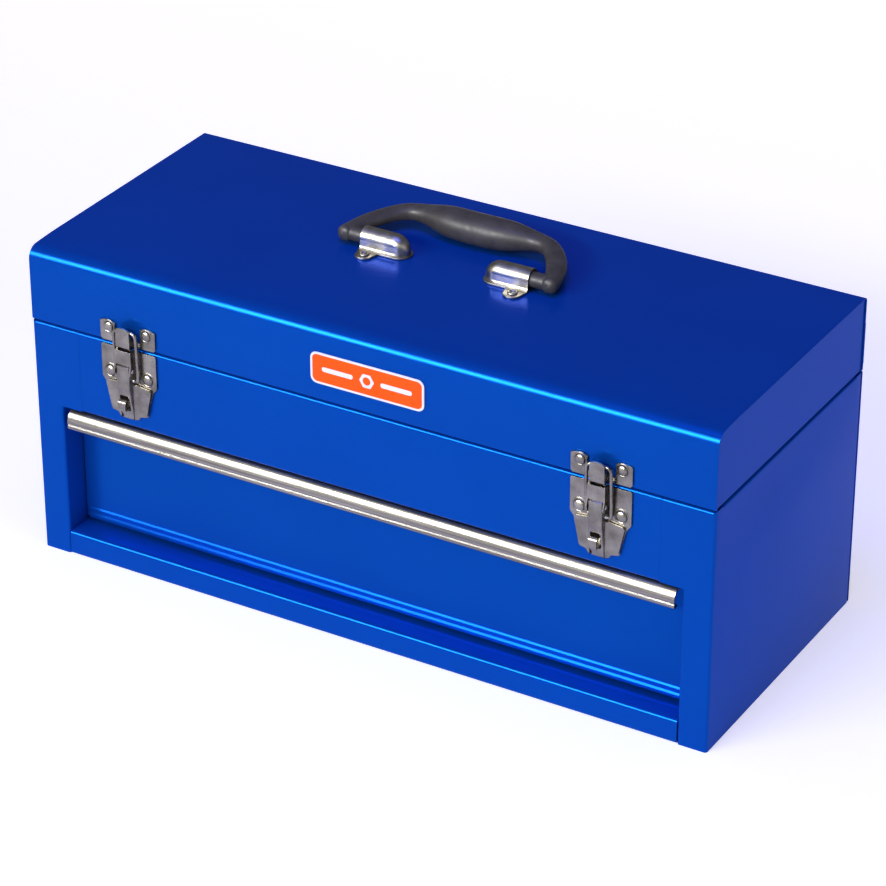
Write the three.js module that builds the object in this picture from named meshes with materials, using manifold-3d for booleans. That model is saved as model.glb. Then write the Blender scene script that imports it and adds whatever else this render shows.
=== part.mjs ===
// A sheet-steel tool chest: a hinged lid over an open compartment, one drawer below it, two draw
// latches on the front and a folding carry handle on the lid.
// Millimetres. X runs to the right, Y to the back and Z up. The front faces -Y, and the origin is
// the middle of the flat underside.

import * as THREE from 'three';
import { mergeVertices } from 'three/addons/utils/BufferGeometryUtils.js';
import Module from 'manifold-3d';

const wasm = await Module();
wasm.setup();

// ---------------------------------------------------------------- driving dimensions

const WIDTH = 520;
const DEPTH = 217;
const HEIGHT = 234; // to the top of the lid, without the handle
const SEAM = 179; // height of the joint between body and lid
const SEAM_GAP = 1;
const SHEET = 1; // thickness of the folded steel
const BEND = 2; // outside radius of a fold
const GAP = 0.3; // clearance between pieces that rest on each other

const SIDE = WIDTH / 2; // outer face of the side panels
const FRONT = -DEPTH / 2;
const BACK = DEPTH / 2;
const BODY_TOP = SEAM - SEAM_GAP / 2;
const LID_BOTTOM = SEAM + SEAM_GAP / 2;
const LIP = 8; // width of the lips folded inwards at the rims
const LIP_CLEAR = 2; // the side lips stop this far short of the front and back lips
const LIP_RUN = [FRONT + LIP + LIP_CLEAR, BACK - LIP - LIP_CLEAR];
const REAR_FLANGE = 14; // width of the side panels' flanges behind the back panel

// drawer opening in the front
const OPENING_HALF = 238.5;
const OPENING_BOTTOM = 18;
const OPENING_TOP = 117.3;
const RECESS = 20; // depth of the drawer front behind the body's front
const STILE_SEAM = 222; // where the upper front panel meets the side panels' front flanges
const RAIL_LEDGE = 34; // depth of the ledge under the drawer
const SHELF_Z = 119; // underside of the floor of the upper compartment
const PAN_FLANGE = 11; // height of the turned-up edges of the floors
const PAN_HALF = SIDE - SHEET - 0.4;
const PAN_BACK = BACK - 2 * SHEET - 2 * GAP;
const PAN_RELIEF = 4; // gap between a floor's back edge and its side edges
const TAB_LAP = 14; // how far the upper panel's tabs reach behind the side panels' flanges
const TAB_ROOT = 2;
const TAB_END = 4; // the tabs stop this far from the panel's top and bottom

// lid
const LID_ROUND = 9; // rounded front top edge
const LID_BACK_ROUND = 3;
const END_INSET = 1; // the end panels sit this far inside the lid's edge
const END_FLANGE = 12;

// hinge along the back
const HINGE_Y = BACK + 2.7;
const HINGE_Z = SEAM;
const KNUCKLE_R = 2.2;
const KNUCKLE_BORE_R = 1.5;
const HINGE_PIN_R = 1.1;
const HINGE_HALF = 245;
const KNUCKLES = 11;
const KNUCKLE_GAP = 0.6;
const KNUCKLE_LINK = 3; // height of the strip that joins a knuckle to its leaf
const KNUCKLE_CLEAR = 4; // height that a leaf leaves free for the other leaf's knuckles
const LEAF = 1.2;
const LID_LEAF_TOP = 213.8;
const LID_LEAF_LOW = 183.5; // lower edge of the lid leaf beyond the knuckles
const LID_LEAF_HALF = 259.5;
const BODY_LEAF_BOTTOM = 164;

// drawer
const DRAWER_HALF = 237.4;
const DRAWER_Y = FRONT + RECESS + 0.5; // front face of the drawer front
const DRAWER_BOTTOM = 22.8;
const DRAWER_TOP = 111;
const HEM_HEIGHT = 6;
const HEM_PROUD = 1.4;
const TRAY_HALF = 233;
const TRAY_BACK = 98;
const TRAY_BOTTOM = 25;
const TRAY_TOP = 105;
const TRAY_LIP = 4;
const PULL_HALF = 234;
const PULL_TOP = 115;
const PULL_BOTTOM = 101.5;
const PULL_WALL = 1.5;
const PULL_NOSE = 5; // radius of the rounded nose of the pull
const PULL_LEG = 12; // height of the leg against the drawer front
const PULL_EDGE_R = 2; // lower edge of the nose
const PULL_HOOK = 4.2; // depth of the hook under the nose
const PULL_HOOK_THICK = 1.6;

// drawer slides
const SLIDE_Z = 70;
const INNER_SLIDE_HALF_HEIGHT = 6;
const OUTER_SLIDE_HALF_HEIGHT = 8;
const SLIDE_SHEET = 1.2;
const INNER_SLIDE_X = [TRAY_HALF + GAP, 237.8];
const OUTER_SLIDE_X = [234.3, 239.8];
const INNER_SLIDE_Y = [-86, 96];
const OUTER_SLIDE_Y = [-86, 100];
const SLIDE_BRACKETS_Y = [-70, 70];
const BRACKET_FOOT = 16;

// latches: u is across the latch, v stands out from the front, z is the height
const LATCH_X = 180;
const PLATE = 1.2; // thickness of the stamped latch plates
const LATCH_HALF = 22; // half width of keeper and base plate
const KEEPER_TOP = 196;
const KEEPER_BOTTOM = 180.5;
const KEEPER_EAR = 10.2; // the ears start this far from the middle
const KEEPER_BRIDGE = 4; // height of the strip that joins the ears
const KEEPER_CROWN = 1.4; // fall of the ears' top edges from their middle to their sides
const CLAW_HALF = 5.6;
const CLAW_V = 8;
const KEEPER_RIVET_Z = 191.2;
const BASE_RIVET_Z = 158;
const RIVET_U = 15;
const BASE_TOP = 177.3;
const BASE_SHOULDER = 152;
const BASE_WAIST = 147;
const BASE_WAIST_HALF = 18.5;
const BASE_FOOT = 129;
const BASE_FOOT_HALF = 13;
const BASE_FOOT_CHAMFER = [3, 1.5];
const CHANNEL_HALF = 6.5; // half width of the raised channel that carries the lever
const CHANNEL_V = 9.5;
const CHANNEL_BOTTOM = 168.8;
const LEVER_PIN = { v: 6.2, z: 164 };
const LEVER_PIN_R = 1.5;
const EAR_R = 4;
const PIN_FIT = 0.35; // radial clearance around a latch pin
const PIN_OVERHANG = 1.3;
const LEVER_HALF = 5.1;
const LEVER_NOSE_R = 5;
const LEVER_V = 9.5;
const LEVER_BOTTOM = 126;
const LEVER_BACK_V = 2.2;
const LEVER_FOOT_V = 4;
const LEVER_CREST = [[6.2, 133], [8.2, 143], [LEVER_V, 152]]; // v and z along the lever's crest
const LEVER_WALL = 1;
const LEVER_TAIL = 7; // the lever is cut away to this far from its pin, where it passes the plate
const LEVER_FOOT_WALL = 2.4;
const WING_TOP = 150.5;
const WING_HALF = 17.8;
const WING_FOOT_HALF = 12.5;
const SLOT_Z = [133, 145.5];
const SLOT_HALF = 3.7;
const STAPLE_Z = [134.8, 142.8];
const STAPLE_HALF = 3;
const STAPLE_V = 12.3;
const LINK_PIN = { v: 4, z: 156 };
const LINK_PIN_R = 1.2;
const LOOP_WIRE_R = 1.2;
const LOOP_HALF = 8.5;
const LOOP_LENGTH = 36.5;
const LOOP_CORNER = 3.5;
const LOOP_REST_V = CLAW_V + LOOP_WIRE_R + 0.4; // the loop's bar rests just in front of the claw
const LOOP_LEAN = Math.asin((LOOP_REST_V - LINK_PIN.v) / LOOP_LENGTH);

// handle
const HANDLE_X = 0.5; // middle of the handle
const HANDLE_Y = 7; // pivot line of the handle
const PIVOT_RISE = 7.5; // height of the pivot over the lid
const GRIP_R = 5.6;
const GRIP_BELLY_R = 10.6;
const GRIP_BELLY_HALF = 44;
const GRIP_REACH = 39.5; // from the pivot to the middle of the crossbar
const GRIP_LIFT = 3.6; // extra height of the crossbar over the pivot
const BRACKET_INNER = 29.5;
const BRACKET_OUTER = 64.5;
const BRACKET_R = 7.3;
const BRACKET_FOOT_HALF = 8;
const BRACKET_WALL = 1.2;
const BRACKET_END_R = 12;
const BRACKET_SPREAD = 0.35; // the hood's round part ends at this angle over the horizontal
const TAB_X = 57;
const TAB_Y = 14;
const TAB_R = 6.5;
const TAB_NECK = BRACKET_FOOT_HALF - 0.6; // the tabs start inside the hood's foot
const GRIP_STUB = 56; // where the moulded stub ends inside the bracket
const PIVOT_PIN_R = 3;
const PIVOT_PIN_INSET = 9;

// badge on the lid's front
const BADGE = { x: 7.5, z: 203.5, half: 43, halfHeight: 11.5, round: 5, thick: 0.8 };

// ---------------------------------------------------------------- finishes

const finish = (colour, roughness, metalness) => () =>
  new THREE.MeshStandardMaterial({ color: colour, roughness, metalness });
const bluePaint = finish(0x0a49b4, 0.35, 0.1);
const zincSteel = finish(0xa9abad, 0.4, 0.9);
const nickel = finish(0xb4b0a6, 0.32, 0.95);
const chrome = finish(0xd0d0cf, 0.12, 1);
const aluminium = finish(0xc4c4c0, 0.3, 0.9);
const darkPlastic = finish(0x4c4a45, 0.6, 0);
const orangeEnamel = finish(0xf26a12, 0.4, 0);

// ---------------------------------------------------------------- building blocks

/** A manifold solid from a closed three.js geometry. */
function solid(geometry) {
  const bare = geometry.clone();
  bare.deleteAttribute('normal');
  bare.deleteAttribute('uv');
  const welded = mergeVertices(bare, 1e-4);
  return new wasm.Manifold(new wasm.Mesh({
    numProp: 3,
    vertProperties: Float32Array.from(welded.attributes.position.array),
    triVerts: Uint32Array.from(welded.index.array),
  }));
}

/** A three.js geometry from a manifold solid. */
function geometryOf(manifold) {
  const found = manifold.getMesh();
  const geometry = new THREE.BufferGeometry();
  geometry.setAttribute('position', new THREE.BufferAttribute(found.vertProperties, 3));
  geometry.setIndex(new THREE.BufferAttribute(found.triVerts, 1));
  geometry.computeVertexNormals();
  return geometry;
}

const join = (first, ...others) => others.reduce((whole, piece) => whole.add(piece), first);
const cut = (first, ...others) => others.reduce((whole, piece) => whole.subtract(piece), first);

/** A named mesh from a manifold solid or from a three.js geometry. */
function piece(name, shape, material) {
  const geometry = shape.isBufferGeometry ? shape : geometryOf(shape);
  const mesh = new THREE.Mesh(geometry, material());
  mesh.name = name;
  return mesh;
}

/** A solid box between two values on each axis. */
function block([x0, x1], [y0, y1], [z0, z1]) {
  const box = new THREE.BoxGeometry(x1 - x0, y1 - y0, z1 - z0);
  return solid(box.translate((x0 + x1) / 2, (y0 + y1) / 2, (z0 + z1) / 2));
}

const X = new THREE.Vector3(1, 0, 0);
const Y = new THREE.Vector3(0, 1, 0);
const Z = new THREE.Vector3(0, 0, 1);
const ALONG = {
  x: new THREE.Matrix4().makeBasis(Y, Z, X), // the outline holds y, z
  y: new THREE.Matrix4().makeBasis(Z, X, Y), // the outline holds z, x
  z: new THREE.Matrix4().makeBasis(X, Y, Z), // the outline holds x, y
};

/** A prism along an axis, from an outline of points in the plane across it. */
function prism(axis, outline, [from, to]) {
  const shape = new THREE.Shape(outline.map(([a, b]) => new THREE.Vector2(a, b)));
  const geometry = new THREE.ExtrudeGeometry(shape, { depth: to - from, bevelEnabled: false });
  return solid(geometry.translate(0, 0, from).applyMatrix4(ALONG[axis]));
}

/** A round bar along the x axis. */
function barX(radius, [x0, x1], y, z, sides = 16) {
  const bar = new THREE.CylinderGeometry(radius, radius, x1 - x0, sides).rotateZ(-Math.PI / 2);
  return solid(bar.translate((x0 + x1) / 2, y, z));
}

/** Points on an arc, both ends included. */
function arc(cx, cy, radius, start, end, steps = 5) {
  return Array.from({ length: steps + 1 }, (_, i) => {
    const angle = start + ((end - start) * i) / steps;
    return [cx + radius * Math.cos(angle), cy + radius * Math.sin(angle)];
  });
}

const unit = ([ax, ay], [bx, by]) => {
  const length = Math.hypot(bx - ax, by - ay);
  return [(bx - ax) / length, (by - ay) / length];
};

/** The same open line with each inner corner rounded. */
function rounded(points, radius, steps = 3) {
  return points.flatMap((corner, i) => {
    if (i === 0 || i === points.length - 1) return [corner];
    const back = unit(corner, points[i - 1]);
    const ahead = unit(corner, points[i + 1]);
    const half = Math.acos(back[0] * ahead[0] + back[1] * ahead[1]) / 2;
    const bisector = unit([0, 0], [back[0] + ahead[0], back[1] + ahead[1]]);
    const reach = radius / Math.sin(half);
    const cx = corner[0] + bisector[0] * reach;
    const cy = corner[1] + bisector[1] * reach;
    const run = radius / Math.tan(half);
    const start = Math.atan2(corner[1] + back[1] * run - cy, corner[0] + back[0] * run - cx);
    const end = Math.atan2(corner[1] + ahead[1] * run - cy, corner[0] + ahead[0] * run - cx);
    const turn = Math.atan2(Math.sin(end - start), Math.cos(end - start));
    return arc(cx, cy, radius, start, start + turn, steps);
  });
}

/** Outline of a folded sheet whose outer face follows the line, with the metal to its right. */
function folded(line, thickness = SHEET, bend = BEND) {
  const outer = rounded(line, bend);
  const inner = outer.map((point, i) => {
    const [ax, ay] = unit(outer[Math.max(i - 1, 0)], outer[Math.max(i, 1)]);
    const last = outer.length - 1;
    const [bx, by] = unit(outer[Math.min(i, last - 1)], outer[Math.min(i + 1, last)]);
    const scale = thickness / (1 + ax * bx + ay * by);
    return [point[0] + (ay + by) * scale, point[1] - (ax + bx) * scale];
  });
  return [...outer, ...inner.reverse()];
}

/** Outline of a rectangle with round corners. */
function roundedRectangle([a0, a1], [b0, b1], radius, steps = 4) {
  const quarter = Math.PI / 2;
  return [
    ...arc(a1 - radius, b1 - radius, radius, 0, quarter, steps),
    ...arc(a0 + radius, b1 - radius, radius, quarter, 2 * quarter, steps),
    ...arc(a0 + radius, b0 + radius, radius, 2 * quarter, 3 * quarter, steps),
    ...arc(a1 - radius, b0 + radius, radius, 3 * quarter, 4 * quarter, steps),
  ];
}

/** A domed rivet head with its flat face at the origin, standing up along z. */
function rivetHead(name, radius, height, material) {
  const profile = [
    new THREE.Vector2(0, 0),
    new THREE.Vector2(radius, 0),
    new THREE.Vector2(radius * 0.93, height * 0.45),
    new THREE.Vector2(radius * 0.6, height * 0.85),
    new THREE.Vector2(0, height),
  ];
  const geometry = new THREE.LatheGeometry(profile, 14).rotateX(Math.PI / 2);
  return piece(name, solid(geometry), material);
}

const mirrored = (side, [near, far]) => (side > 0 ? [near, far] : [-far, -near]);
const SIDES = [['left', -1], ['right', 1]];

// ---------------------------------------------------------------- body

/** Side wall with its rear flange, the front stile beside the drawer and the rim lip. */
function sidePanel(name, side) {
  const back = BACK - SHEET - GAP;
  const line = [[SIDE - REAR_FLANGE, back], [SIDE, back], [SIDE, FRONT], [OPENING_HALF, FRONT]];
  const outline = folded(line).map(([x, y]) => [x * side, y]);
  const inFront = [FRONT, FRONT + SHEET];
  const atSide = mirrored(side, [SIDE - LIP, SIDE - SHEET / 2]);
  return piece(name, join(
    prism('z', outline, [0, BODY_TOP]),
    block(mirrored(side, [STILE_SEAM, OPENING_HALF + SHEET]), inFront, [OPENING_TOP, BODY_TOP]),
    block(mirrored(side, [OPENING_HALF, OPENING_HALF + SHEET]), [FRONT, FRONT + RECESS],
      [0, OPENING_TOP]),
    block(atSide, LIP_RUN, [BODY_TOP - SHEET, BODY_TOP]),
  ), bluePaint);
}

function backPanel() {
  return piece('back_panel', join(
    block([-SIDE, SIDE], [BACK - SHEET, BACK], [0, BODY_TOP]),
    block([-HINGE_HALF, HINGE_HALF], [BACK - LIP, BACK - SHEET / 2], [BODY_TOP - SHEET, BODY_TOP]),
  ), bluePaint);
}

/** Front of the upper compartment, with tabs that lap behind the side panels' flanges. */
function frontUpperPanel() {
  const half = STILE_SEAM - GAP;
  const line = [
    [FRONT + LIP, OPENING_TOP], [FRONT, OPENING_TOP], [FRONT, BODY_TOP], [FRONT + LIP, BODY_TOP],
  ];
  const behind = FRONT + SHEET + GAP;
  const height = [OPENING_TOP + TAB_END, BODY_TOP - TAB_END];
  const tabs = SIDES.flatMap(([, side]) => [
    block(mirrored(side, [half - TAB_ROOT, half]), [FRONT, behind + SHEET], height),
    block(mirrored(side, [half - TAB_ROOT, half + TAB_LAP]), [behind, behind + SHEET], height),
  ]);
  return piece('front_upper_panel', join(prism('x', folded(line), [-half, half]), ...tabs), bluePaint);
}

/** Rail below the drawer, folded back at the top into a ledge and at the bottom into a flange. */
function frontLowerRail() {
  const half = OPENING_HALF - GAP;
  const line = [
    [FRONT + RECESS, 0], [FRONT, 0], [FRONT, OPENING_BOTTOM], [FRONT + RAIL_LEDGE, OPENING_BOTTOM],
  ];
  return piece('front_lower_rail', prism('x', folded(line), [-half, half]), bluePaint);
}

/** A floor with turned-up edges at its sides and back. */
function floorPan(name, z, front, material) {
  const top = z + PAN_FLANGE;
  const line = [[PAN_HALF, top], [PAN_HALF, z], [-PAN_HALF, z], [-PAN_HALF, top]];
  const outline = folded(line).map(([x, height]) => [height, x]);
  const back = block([-PAN_HALF + PAN_RELIEF, PAN_HALF - PAN_RELIEF], [PAN_BACK - SHEET, PAN_BACK],
    [z, top]);
  return piece(name, join(prism('y', outline, [front, PAN_BACK]), back), material);
}

/** The part of a drawer slide that is fixed to the body, on two brackets. */
function outerSlide(name, side) {
  const low = SLIDE_Z - OUTER_SLIDE_HALF_HEIGHT;
  const high = SLIDE_Z + OUTER_SLIDE_HALF_HEIGHT;
  const [inner, outer] = OUTER_SLIDE_X;
  const wall = SIDE - SHEET - GAP;
  const height = [low + SLIDE_SHEET, high - SLIDE_SHEET];
  const brackets = SLIDE_BRACKETS_Y.flatMap((y) => [
    block(mirrored(side, [outer - SLIDE_SHEET, wall]), [y, y + SLIDE_SHEET], height),
    block(mirrored(side, [wall - SLIDE_SHEET, wall]), [y, y + BRACKET_FOOT], height),
  ]);
  return piece(name, join(
    block(mirrored(side, [outer - SLIDE_SHEET, outer]), OUTER_SLIDE_Y, [low, high]),
    block(mirrored(side, [inner, outer]), OUTER_SLIDE_Y, [low, low + SLIDE_SHEET]),
    block(mirrored(side, [inner, outer]), OUTER_SLIDE_Y, [high - SLIDE_SHEET, high]),
    ...brackets,
  ), zincSteel);
}

// ---------------------------------------------------------------- hinge

/** A hinge leaf: its plate, and a knuckle on every second place along the pin. */
function hingeLeaf(name, { first, plate, cutBack, link }) {
  const pitch = (2 * HINGE_HALF) / KNUCKLES;
  const near = BACK + GAP;
  const places = Array.from({ length: KNUCKLES }, (_, i) => -HINGE_HALF + i * pitch);
  const own = places.filter((_, i) => i % 2 === first);
  const other = places.filter((_, i) => i % 2 !== first);
  const span = (x) => [x + KNUCKLE_GAP / 2, x + pitch - KNUCKLE_GAP / 2];
  const knuckles = own.flatMap((x) => [
    barX(KNUCKLE_R, span(x), HINGE_Y, HINGE_Z, 12),
    block(span(x), [near, near + LEAF], link),
  ]);
  const clearances = other.map((x) =>
    block([x - KNUCKLE_GAP / 2, x + pitch + KNUCKLE_GAP / 2], [BACK, HINGE_Y + KNUCKLE_R], cutBack));
  const bore = barX(KNUCKLE_BORE_R, [-SIDE, SIDE], HINGE_Y, HINGE_Z, 12);
  return piece(name, cut(join(cut(plate(near), ...clearances), ...knuckles), bore), zincSteel);
}

const hingeBodyLeaf = () => hingeLeaf('hinge_body_leaf', {
  first: 0,
  plate: (near) => block([-HINGE_HALF + GAP, HINGE_HALF - GAP], [near, near + LEAF],
    [BODY_LEAF_BOTTOM, HINGE_Z]),
  cutBack: [HINGE_Z - KNUCKLE_R - KNUCKLE_GAP, HINGE_Z + KNUCKLE_CLEAR],
  link: [HINGE_Z - KNUCKLE_LINK, HINGE_Z],
});

const hingeLidLeaf = () => hingeLeaf('hinge_lid_leaf', {
  first: 1,
  plate: (near) => join(
    block([-HINGE_HALF, HINGE_HALF], [near, near + LEAF], [HINGE_Z + KNUCKLE_R, LID_LEAF_TOP]),
    block([-LID_LEAF_HALF, LID_LEAF_HALF], [near, near + LEAF], [LID_LEAF_LOW, LID_LEAF_TOP]),
  ),
  cutBack: [HINGE_Z - KNUCKLE_CLEAR, HINGE_Z + KNUCKLE_R + KNUCKLE_GAP],
  link: [HINGE_Z, HINGE_Z + KNUCKLE_LINK],
});

const hingePin = () => piece('hinge_pin',
  barX(HINGE_PIN_R, [-HINGE_HALF - SHEET, HINGE_HALF + SHEET], HINGE_Y, HINGE_Z, 10), zincSteel);

// ---------------------------------------------------------------- lid

/** Front, top and back of the lid as one sheet, inset by the given distance. */
function lidLine(inset) {
  const [front, back, top] = [FRONT + inset, BACK - inset, HEIGHT - inset];
  const frontR = LID_ROUND - inset;
  const backR = LID_BACK_ROUND - inset;
  const half = Math.PI / 2;
  return [
    [front, LID_BOTTOM],
    ...arc(front + frontR, top - frontR, frontR, Math.PI, half, 6),
    ...arc(back - backR, top - backR, backR, half, 0, 3),
    [back, LID_BOTTOM],
  ];
}

function lidShell() {
  const outline = [...lidLine(0), ...lidLine(SHEET).reverse()];
  const lip = [LID_BOTTOM, LID_BOTTOM + SHEET];
  const half = SIDE - LIP - SHEET;
  return piece('lid_shell', join(
    prism('x', outline, [-SIDE, SIDE]),
    block([-half, half], [FRONT + SHEET / 2, FRONT + LIP], lip),
    block([-half, half], [BACK - LIP, BACK - SHEET / 2], lip),
  ), bluePaint);
}

/** End of the lid: a plate just inside the shell's edge, with flanges turned in. */
function lidEnd(name, side) {
  const outer = SIDE - END_INSET;
  const plate = prism('x', lidLine(SHEET + GAP), mirrored(side, [outer - SHEET, outer]));
  const top = HEIGHT - SHEET - GAP;
  return piece(name, join(
    plate,
    block(mirrored(side, [outer - LIP, outer]), LIP_RUN, [LID_BOTTOM, LID_BOTTOM + SHEET]),
    block(mirrored(side, [outer - END_FLANGE, outer]), [FRONT + 2 * LID_ROUND, BACK - 2 * LID_ROUND],
      [top - SHEET, top]),
  ), bluePaint);
}

/** Plain rounded badge plate on the lid's front. */
function badge() {
  const outline = roundedRectangle(
    [BADGE.z - BADGE.halfHeight, BADGE.z + BADGE.halfHeight],
    [BADGE.x - BADGE.half, BADGE.x + BADGE.half], BADGE.round);
  return piece('badge', prism('y', outline, [FRONT - GAP - BADGE.thick, FRONT - GAP]), orangeEnamel);
}

// ---------------------------------------------------------------- handle

/** The bracket's rounded hood, or the space inside it when it is drawn one wall smaller. */
function hood(wall) {
  const radius = BRACKET_R - wall;
  const foot = BRACKET_FOOT_HALF - wall;
  const inner = BRACKET_INNER + wall;
  const outer = BRACKET_OUTER + wall; // the space runs out of the open end
  const base = wall ? -wall : GAP;
  const top = PIVOT_RISE + radius;
  const endR = BRACKET_END_R - wall;
  const crown = arc(0, PIVOT_RISE, radius, BRACKET_SPREAD, Math.PI - BRACKET_SPREAD, 10);
  const shoulder = arc(top - endR, inner + endR, endR, -Math.PI / 2, 0, 5);
  const nose = arc(inner + foot, 0, foot, Math.PI / 2, Math.PI * 1.5, 10);
  const across = [[foot, base], ...crown, [-foot, base]];
  const along = [[base, inner], ...shoulder, [top, outer], [base, outer]];
  const above = [[outer, foot], ...nose, [outer, -foot]];
  return prism('x', across, [inner, outer])
    .intersect(prism('y', along, [-foot, foot]))
    .intersect(prism('z', above, [base, top]));
}

/** Handle bracket: the hood, open at its outer end, with a riveted tab in front and behind. */
function handleBracket(name, side) {
  const tab = (way) => {
    const start = way > 0 ? 0 : Math.PI;
    const round = arc(TAB_X, TAB_Y * way, TAB_R, start, start + Math.PI, 8);
    const neck = [[TAB_X - TAB_R * way, TAB_NECK * way], [TAB_X + TAB_R * way, TAB_NECK * way]];
    return prism('z', [...round, ...neck], [GAP, GAP + BRACKET_WALL]);
  };
  const shape = cut(join(hood(0), tab(1), tab(-1)), hood(BRACKET_WALL));
  const bracket = piece(name, shape, chrome);
  if (side < 0) bracket.rotation.z = Math.PI;
  return bracket;
}

/** The bail: a bent bar that thickens into the grip, with its stubs inside the brackets. */
function handleGrip() {
  const half = [
    [GRIP_STUB, 0], [69, 0], [76, 1], [78.5, 6], [75, 17], [69, 27], [62, 35.5], [54, 41], [44, 42.8],
    [30, 42.3], [15, 40.5],
  ];
  const route = [...half.map(([x, w]) => [-x, w]), [0, GRIP_REACH + 0.5], ...half.reverse()];
  const rise = (w) => (GRIP_LIFT * w) / GRIP_REACH;
  const path = new THREE.CatmullRomCurve3(route.map(([x, w]) => new THREE.Vector3(x, w, rise(w))));
  const section = new THREE.Shape().absarc(0, 0, GRIP_R, 0, 2 * Math.PI);
  const bar = new THREE.ExtrudeGeometry(section, { steps: 56, curveSegments: 5, extrudePath: path });
  const profile = [
    [0, -GRIP_BELLY_HALF], [GRIP_R * 0.8, -GRIP_BELLY_HALF], [7.8, -30], [GRIP_BELLY_R, -11],
    [GRIP_BELLY_R, 11], [7.8, 30], [GRIP_R * 0.8, GRIP_BELLY_HALF], [0, GRIP_BELLY_HALF],
  ].map(([r, x]) => new THREE.Vector2(r, x));
  const belly = new THREE.LatheGeometry(profile, 12).rotateZ(-Math.PI / 2);
  belly.translate(0, GRIP_REACH, GRIP_LIFT);
  return piece('handle_grip', join(solid(bar), solid(belly)), darkPlastic);
}

function handlePivotPin(name, side) {
  const span = mirrored(side, [BRACKET_INNER + PIVOT_PIN_INSET, GRIP_STUB - GAP]);
  return piece(name, barX(PIVOT_PIN_R, span, 0, 0, 12), zincSteel);
}

/** Everything that is fixed to the lid for the handle, and the handle folded back on it. */
function handleSet() {
  const brackets = new THREE.Group();
  brackets.position.set(HANDLE_X, HANDLE_Y, HEIGHT);
  for (const [word, side] of SIDES) {
    brackets.add(handleBracket(`${word}_handle_bracket`, side));
    for (const [place, way] of [['front', -1], ['rear', 1]]) {
      const rivet = rivetHead(`${word}_bracket_${place}_rivet`, 3.4, 2, chrome);
      rivet.position.set(TAB_X * side, TAB_Y * way, 2 * GAP + BRACKET_WALL);
      brackets.add(rivet);
    }
  }
  const handle = new THREE.Group();
  handle.position.set(HANDLE_X, HANDLE_Y, HEIGHT + PIVOT_RISE);
  handle.add(handleGrip());
  handle.add(...SIDES.map(([word, side]) => handlePivotPin(`${word}_handle_pivot_pin`, side)));
  return [brackets, handle];
}

// ---------------------------------------------------------------- drawer

function drawerTray() {
  const front = DRAWER_Y + SHEET + 0.5;
  const depth = [front, TRAY_BACK];
  const shell = cut(
    block([-TRAY_HALF, TRAY_HALF], depth, [TRAY_BOTTOM, TRAY_TOP]),
    block([-TRAY_HALF + SHEET, TRAY_HALF - SHEET], [front + SHEET, TRAY_BACK - SHEET],
      [TRAY_BOTTOM + SHEET, TRAY_TOP - SHEET]),
    block([-TRAY_HALF + TRAY_LIP, TRAY_HALF - TRAY_LIP], [front + TRAY_LIP, TRAY_BACK - TRAY_LIP],
      [TRAY_TOP - 2 * SHEET, TRAY_TOP + SHEET]),
  );
  return piece('drawer_tray', shell, bluePaint);
}

/** Recessed drawer front with a raised hem along its lower edge. */
function drawerFront() {
  const line = [
    [DRAWER_Y + LIP, DRAWER_BOTTOM], [DRAWER_Y, DRAWER_BOTTOM],
    [DRAWER_Y, DRAWER_TOP], [DRAWER_Y + LIP, DRAWER_TOP],
  ];
  const hem = roundedRectangle([DRAWER_Y - HEM_PROUD, DRAWER_Y + SHEET / 2],
    [DRAWER_BOTTOM, DRAWER_BOTTOM + HEM_HEIGHT], 0.5, 2);
  const across = [-DRAWER_HALF, DRAWER_HALF];
  return piece('drawer_front', join(prism('x', folded(line), across), prism('x', hem, across)),
    bluePaint);
}

/** Full-width pull: a hooked strip whose rounded nose comes forward to the front of the body. */
function drawerPull() {
  const back = DRAWER_Y - GAP;
  const nose = FRONT - 0.5;
  const [outR, inR] = [PULL_NOSE, PULL_NOSE - PULL_WALL];
  const cy = nose + outR;
  const outline = [
    [back, PULL_TOP - PULL_LEG], [back, PULL_TOP],
    ...arc(cy, PULL_TOP - outR, outR, Math.PI / 2, Math.PI, 6),
    ...arc(nose + PULL_EDGE_R, PULL_BOTTOM + PULL_EDGE_R, PULL_EDGE_R, Math.PI, 1.5 * Math.PI, 3),
    [nose + PULL_HOOK, PULL_BOTTOM], [nose + PULL_HOOK, PULL_BOTTOM + PULL_HOOK_THICK],
    [nose + PULL_WALL + 1, PULL_BOTTOM + PULL_EDGE_R], [nose + PULL_WALL, PULL_BOTTOM + 2 * PULL_WALL],
    ...arc(cy, PULL_TOP - outR, inR, Math.PI, Math.PI / 2, 6),
    [back - PULL_WALL, PULL_TOP - PULL_WALL], [back - PULL_WALL, PULL_TOP - PULL_LEG],
  ];
  return piece('drawer_pull', prism('x', outline, [-PULL_HALF, PULL_HALF]), aluminium);
}

/** The part of a drawer slide that is fixed to the tray and runs in the outer one. */
function innerSlide(name, side) {
  const low = SLIDE_Z - INNER_SLIDE_HALF_HEIGHT;
  const high = SLIDE_Z + INNER_SLIDE_HALF_HEIGHT;
  const [inner, outer] = INNER_SLIDE_X;
  return piece(name, join(
    block(mirrored(side, [inner, inner + SLIDE_SHEET]), INNER_SLIDE_Y, [low, high]),
    block(mirrored(side, [inner, outer]), INNER_SLIDE_Y, [low, low + SLIDE_SHEET]),
    block(mirrored(side, [inner, outer]), INNER_SLIDE_Y, [high - SLIDE_SHEET, high]),
  ), zincSteel);
}

// ---------------------------------------------------------------- latches
// Latch pieces are drawn around the latch's own middle on the body's front: y is minus v.

const outwards = ([v0, v1]) => [-v1, -v0];
const PLATE_V = [GAP, GAP + PLATE];

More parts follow.
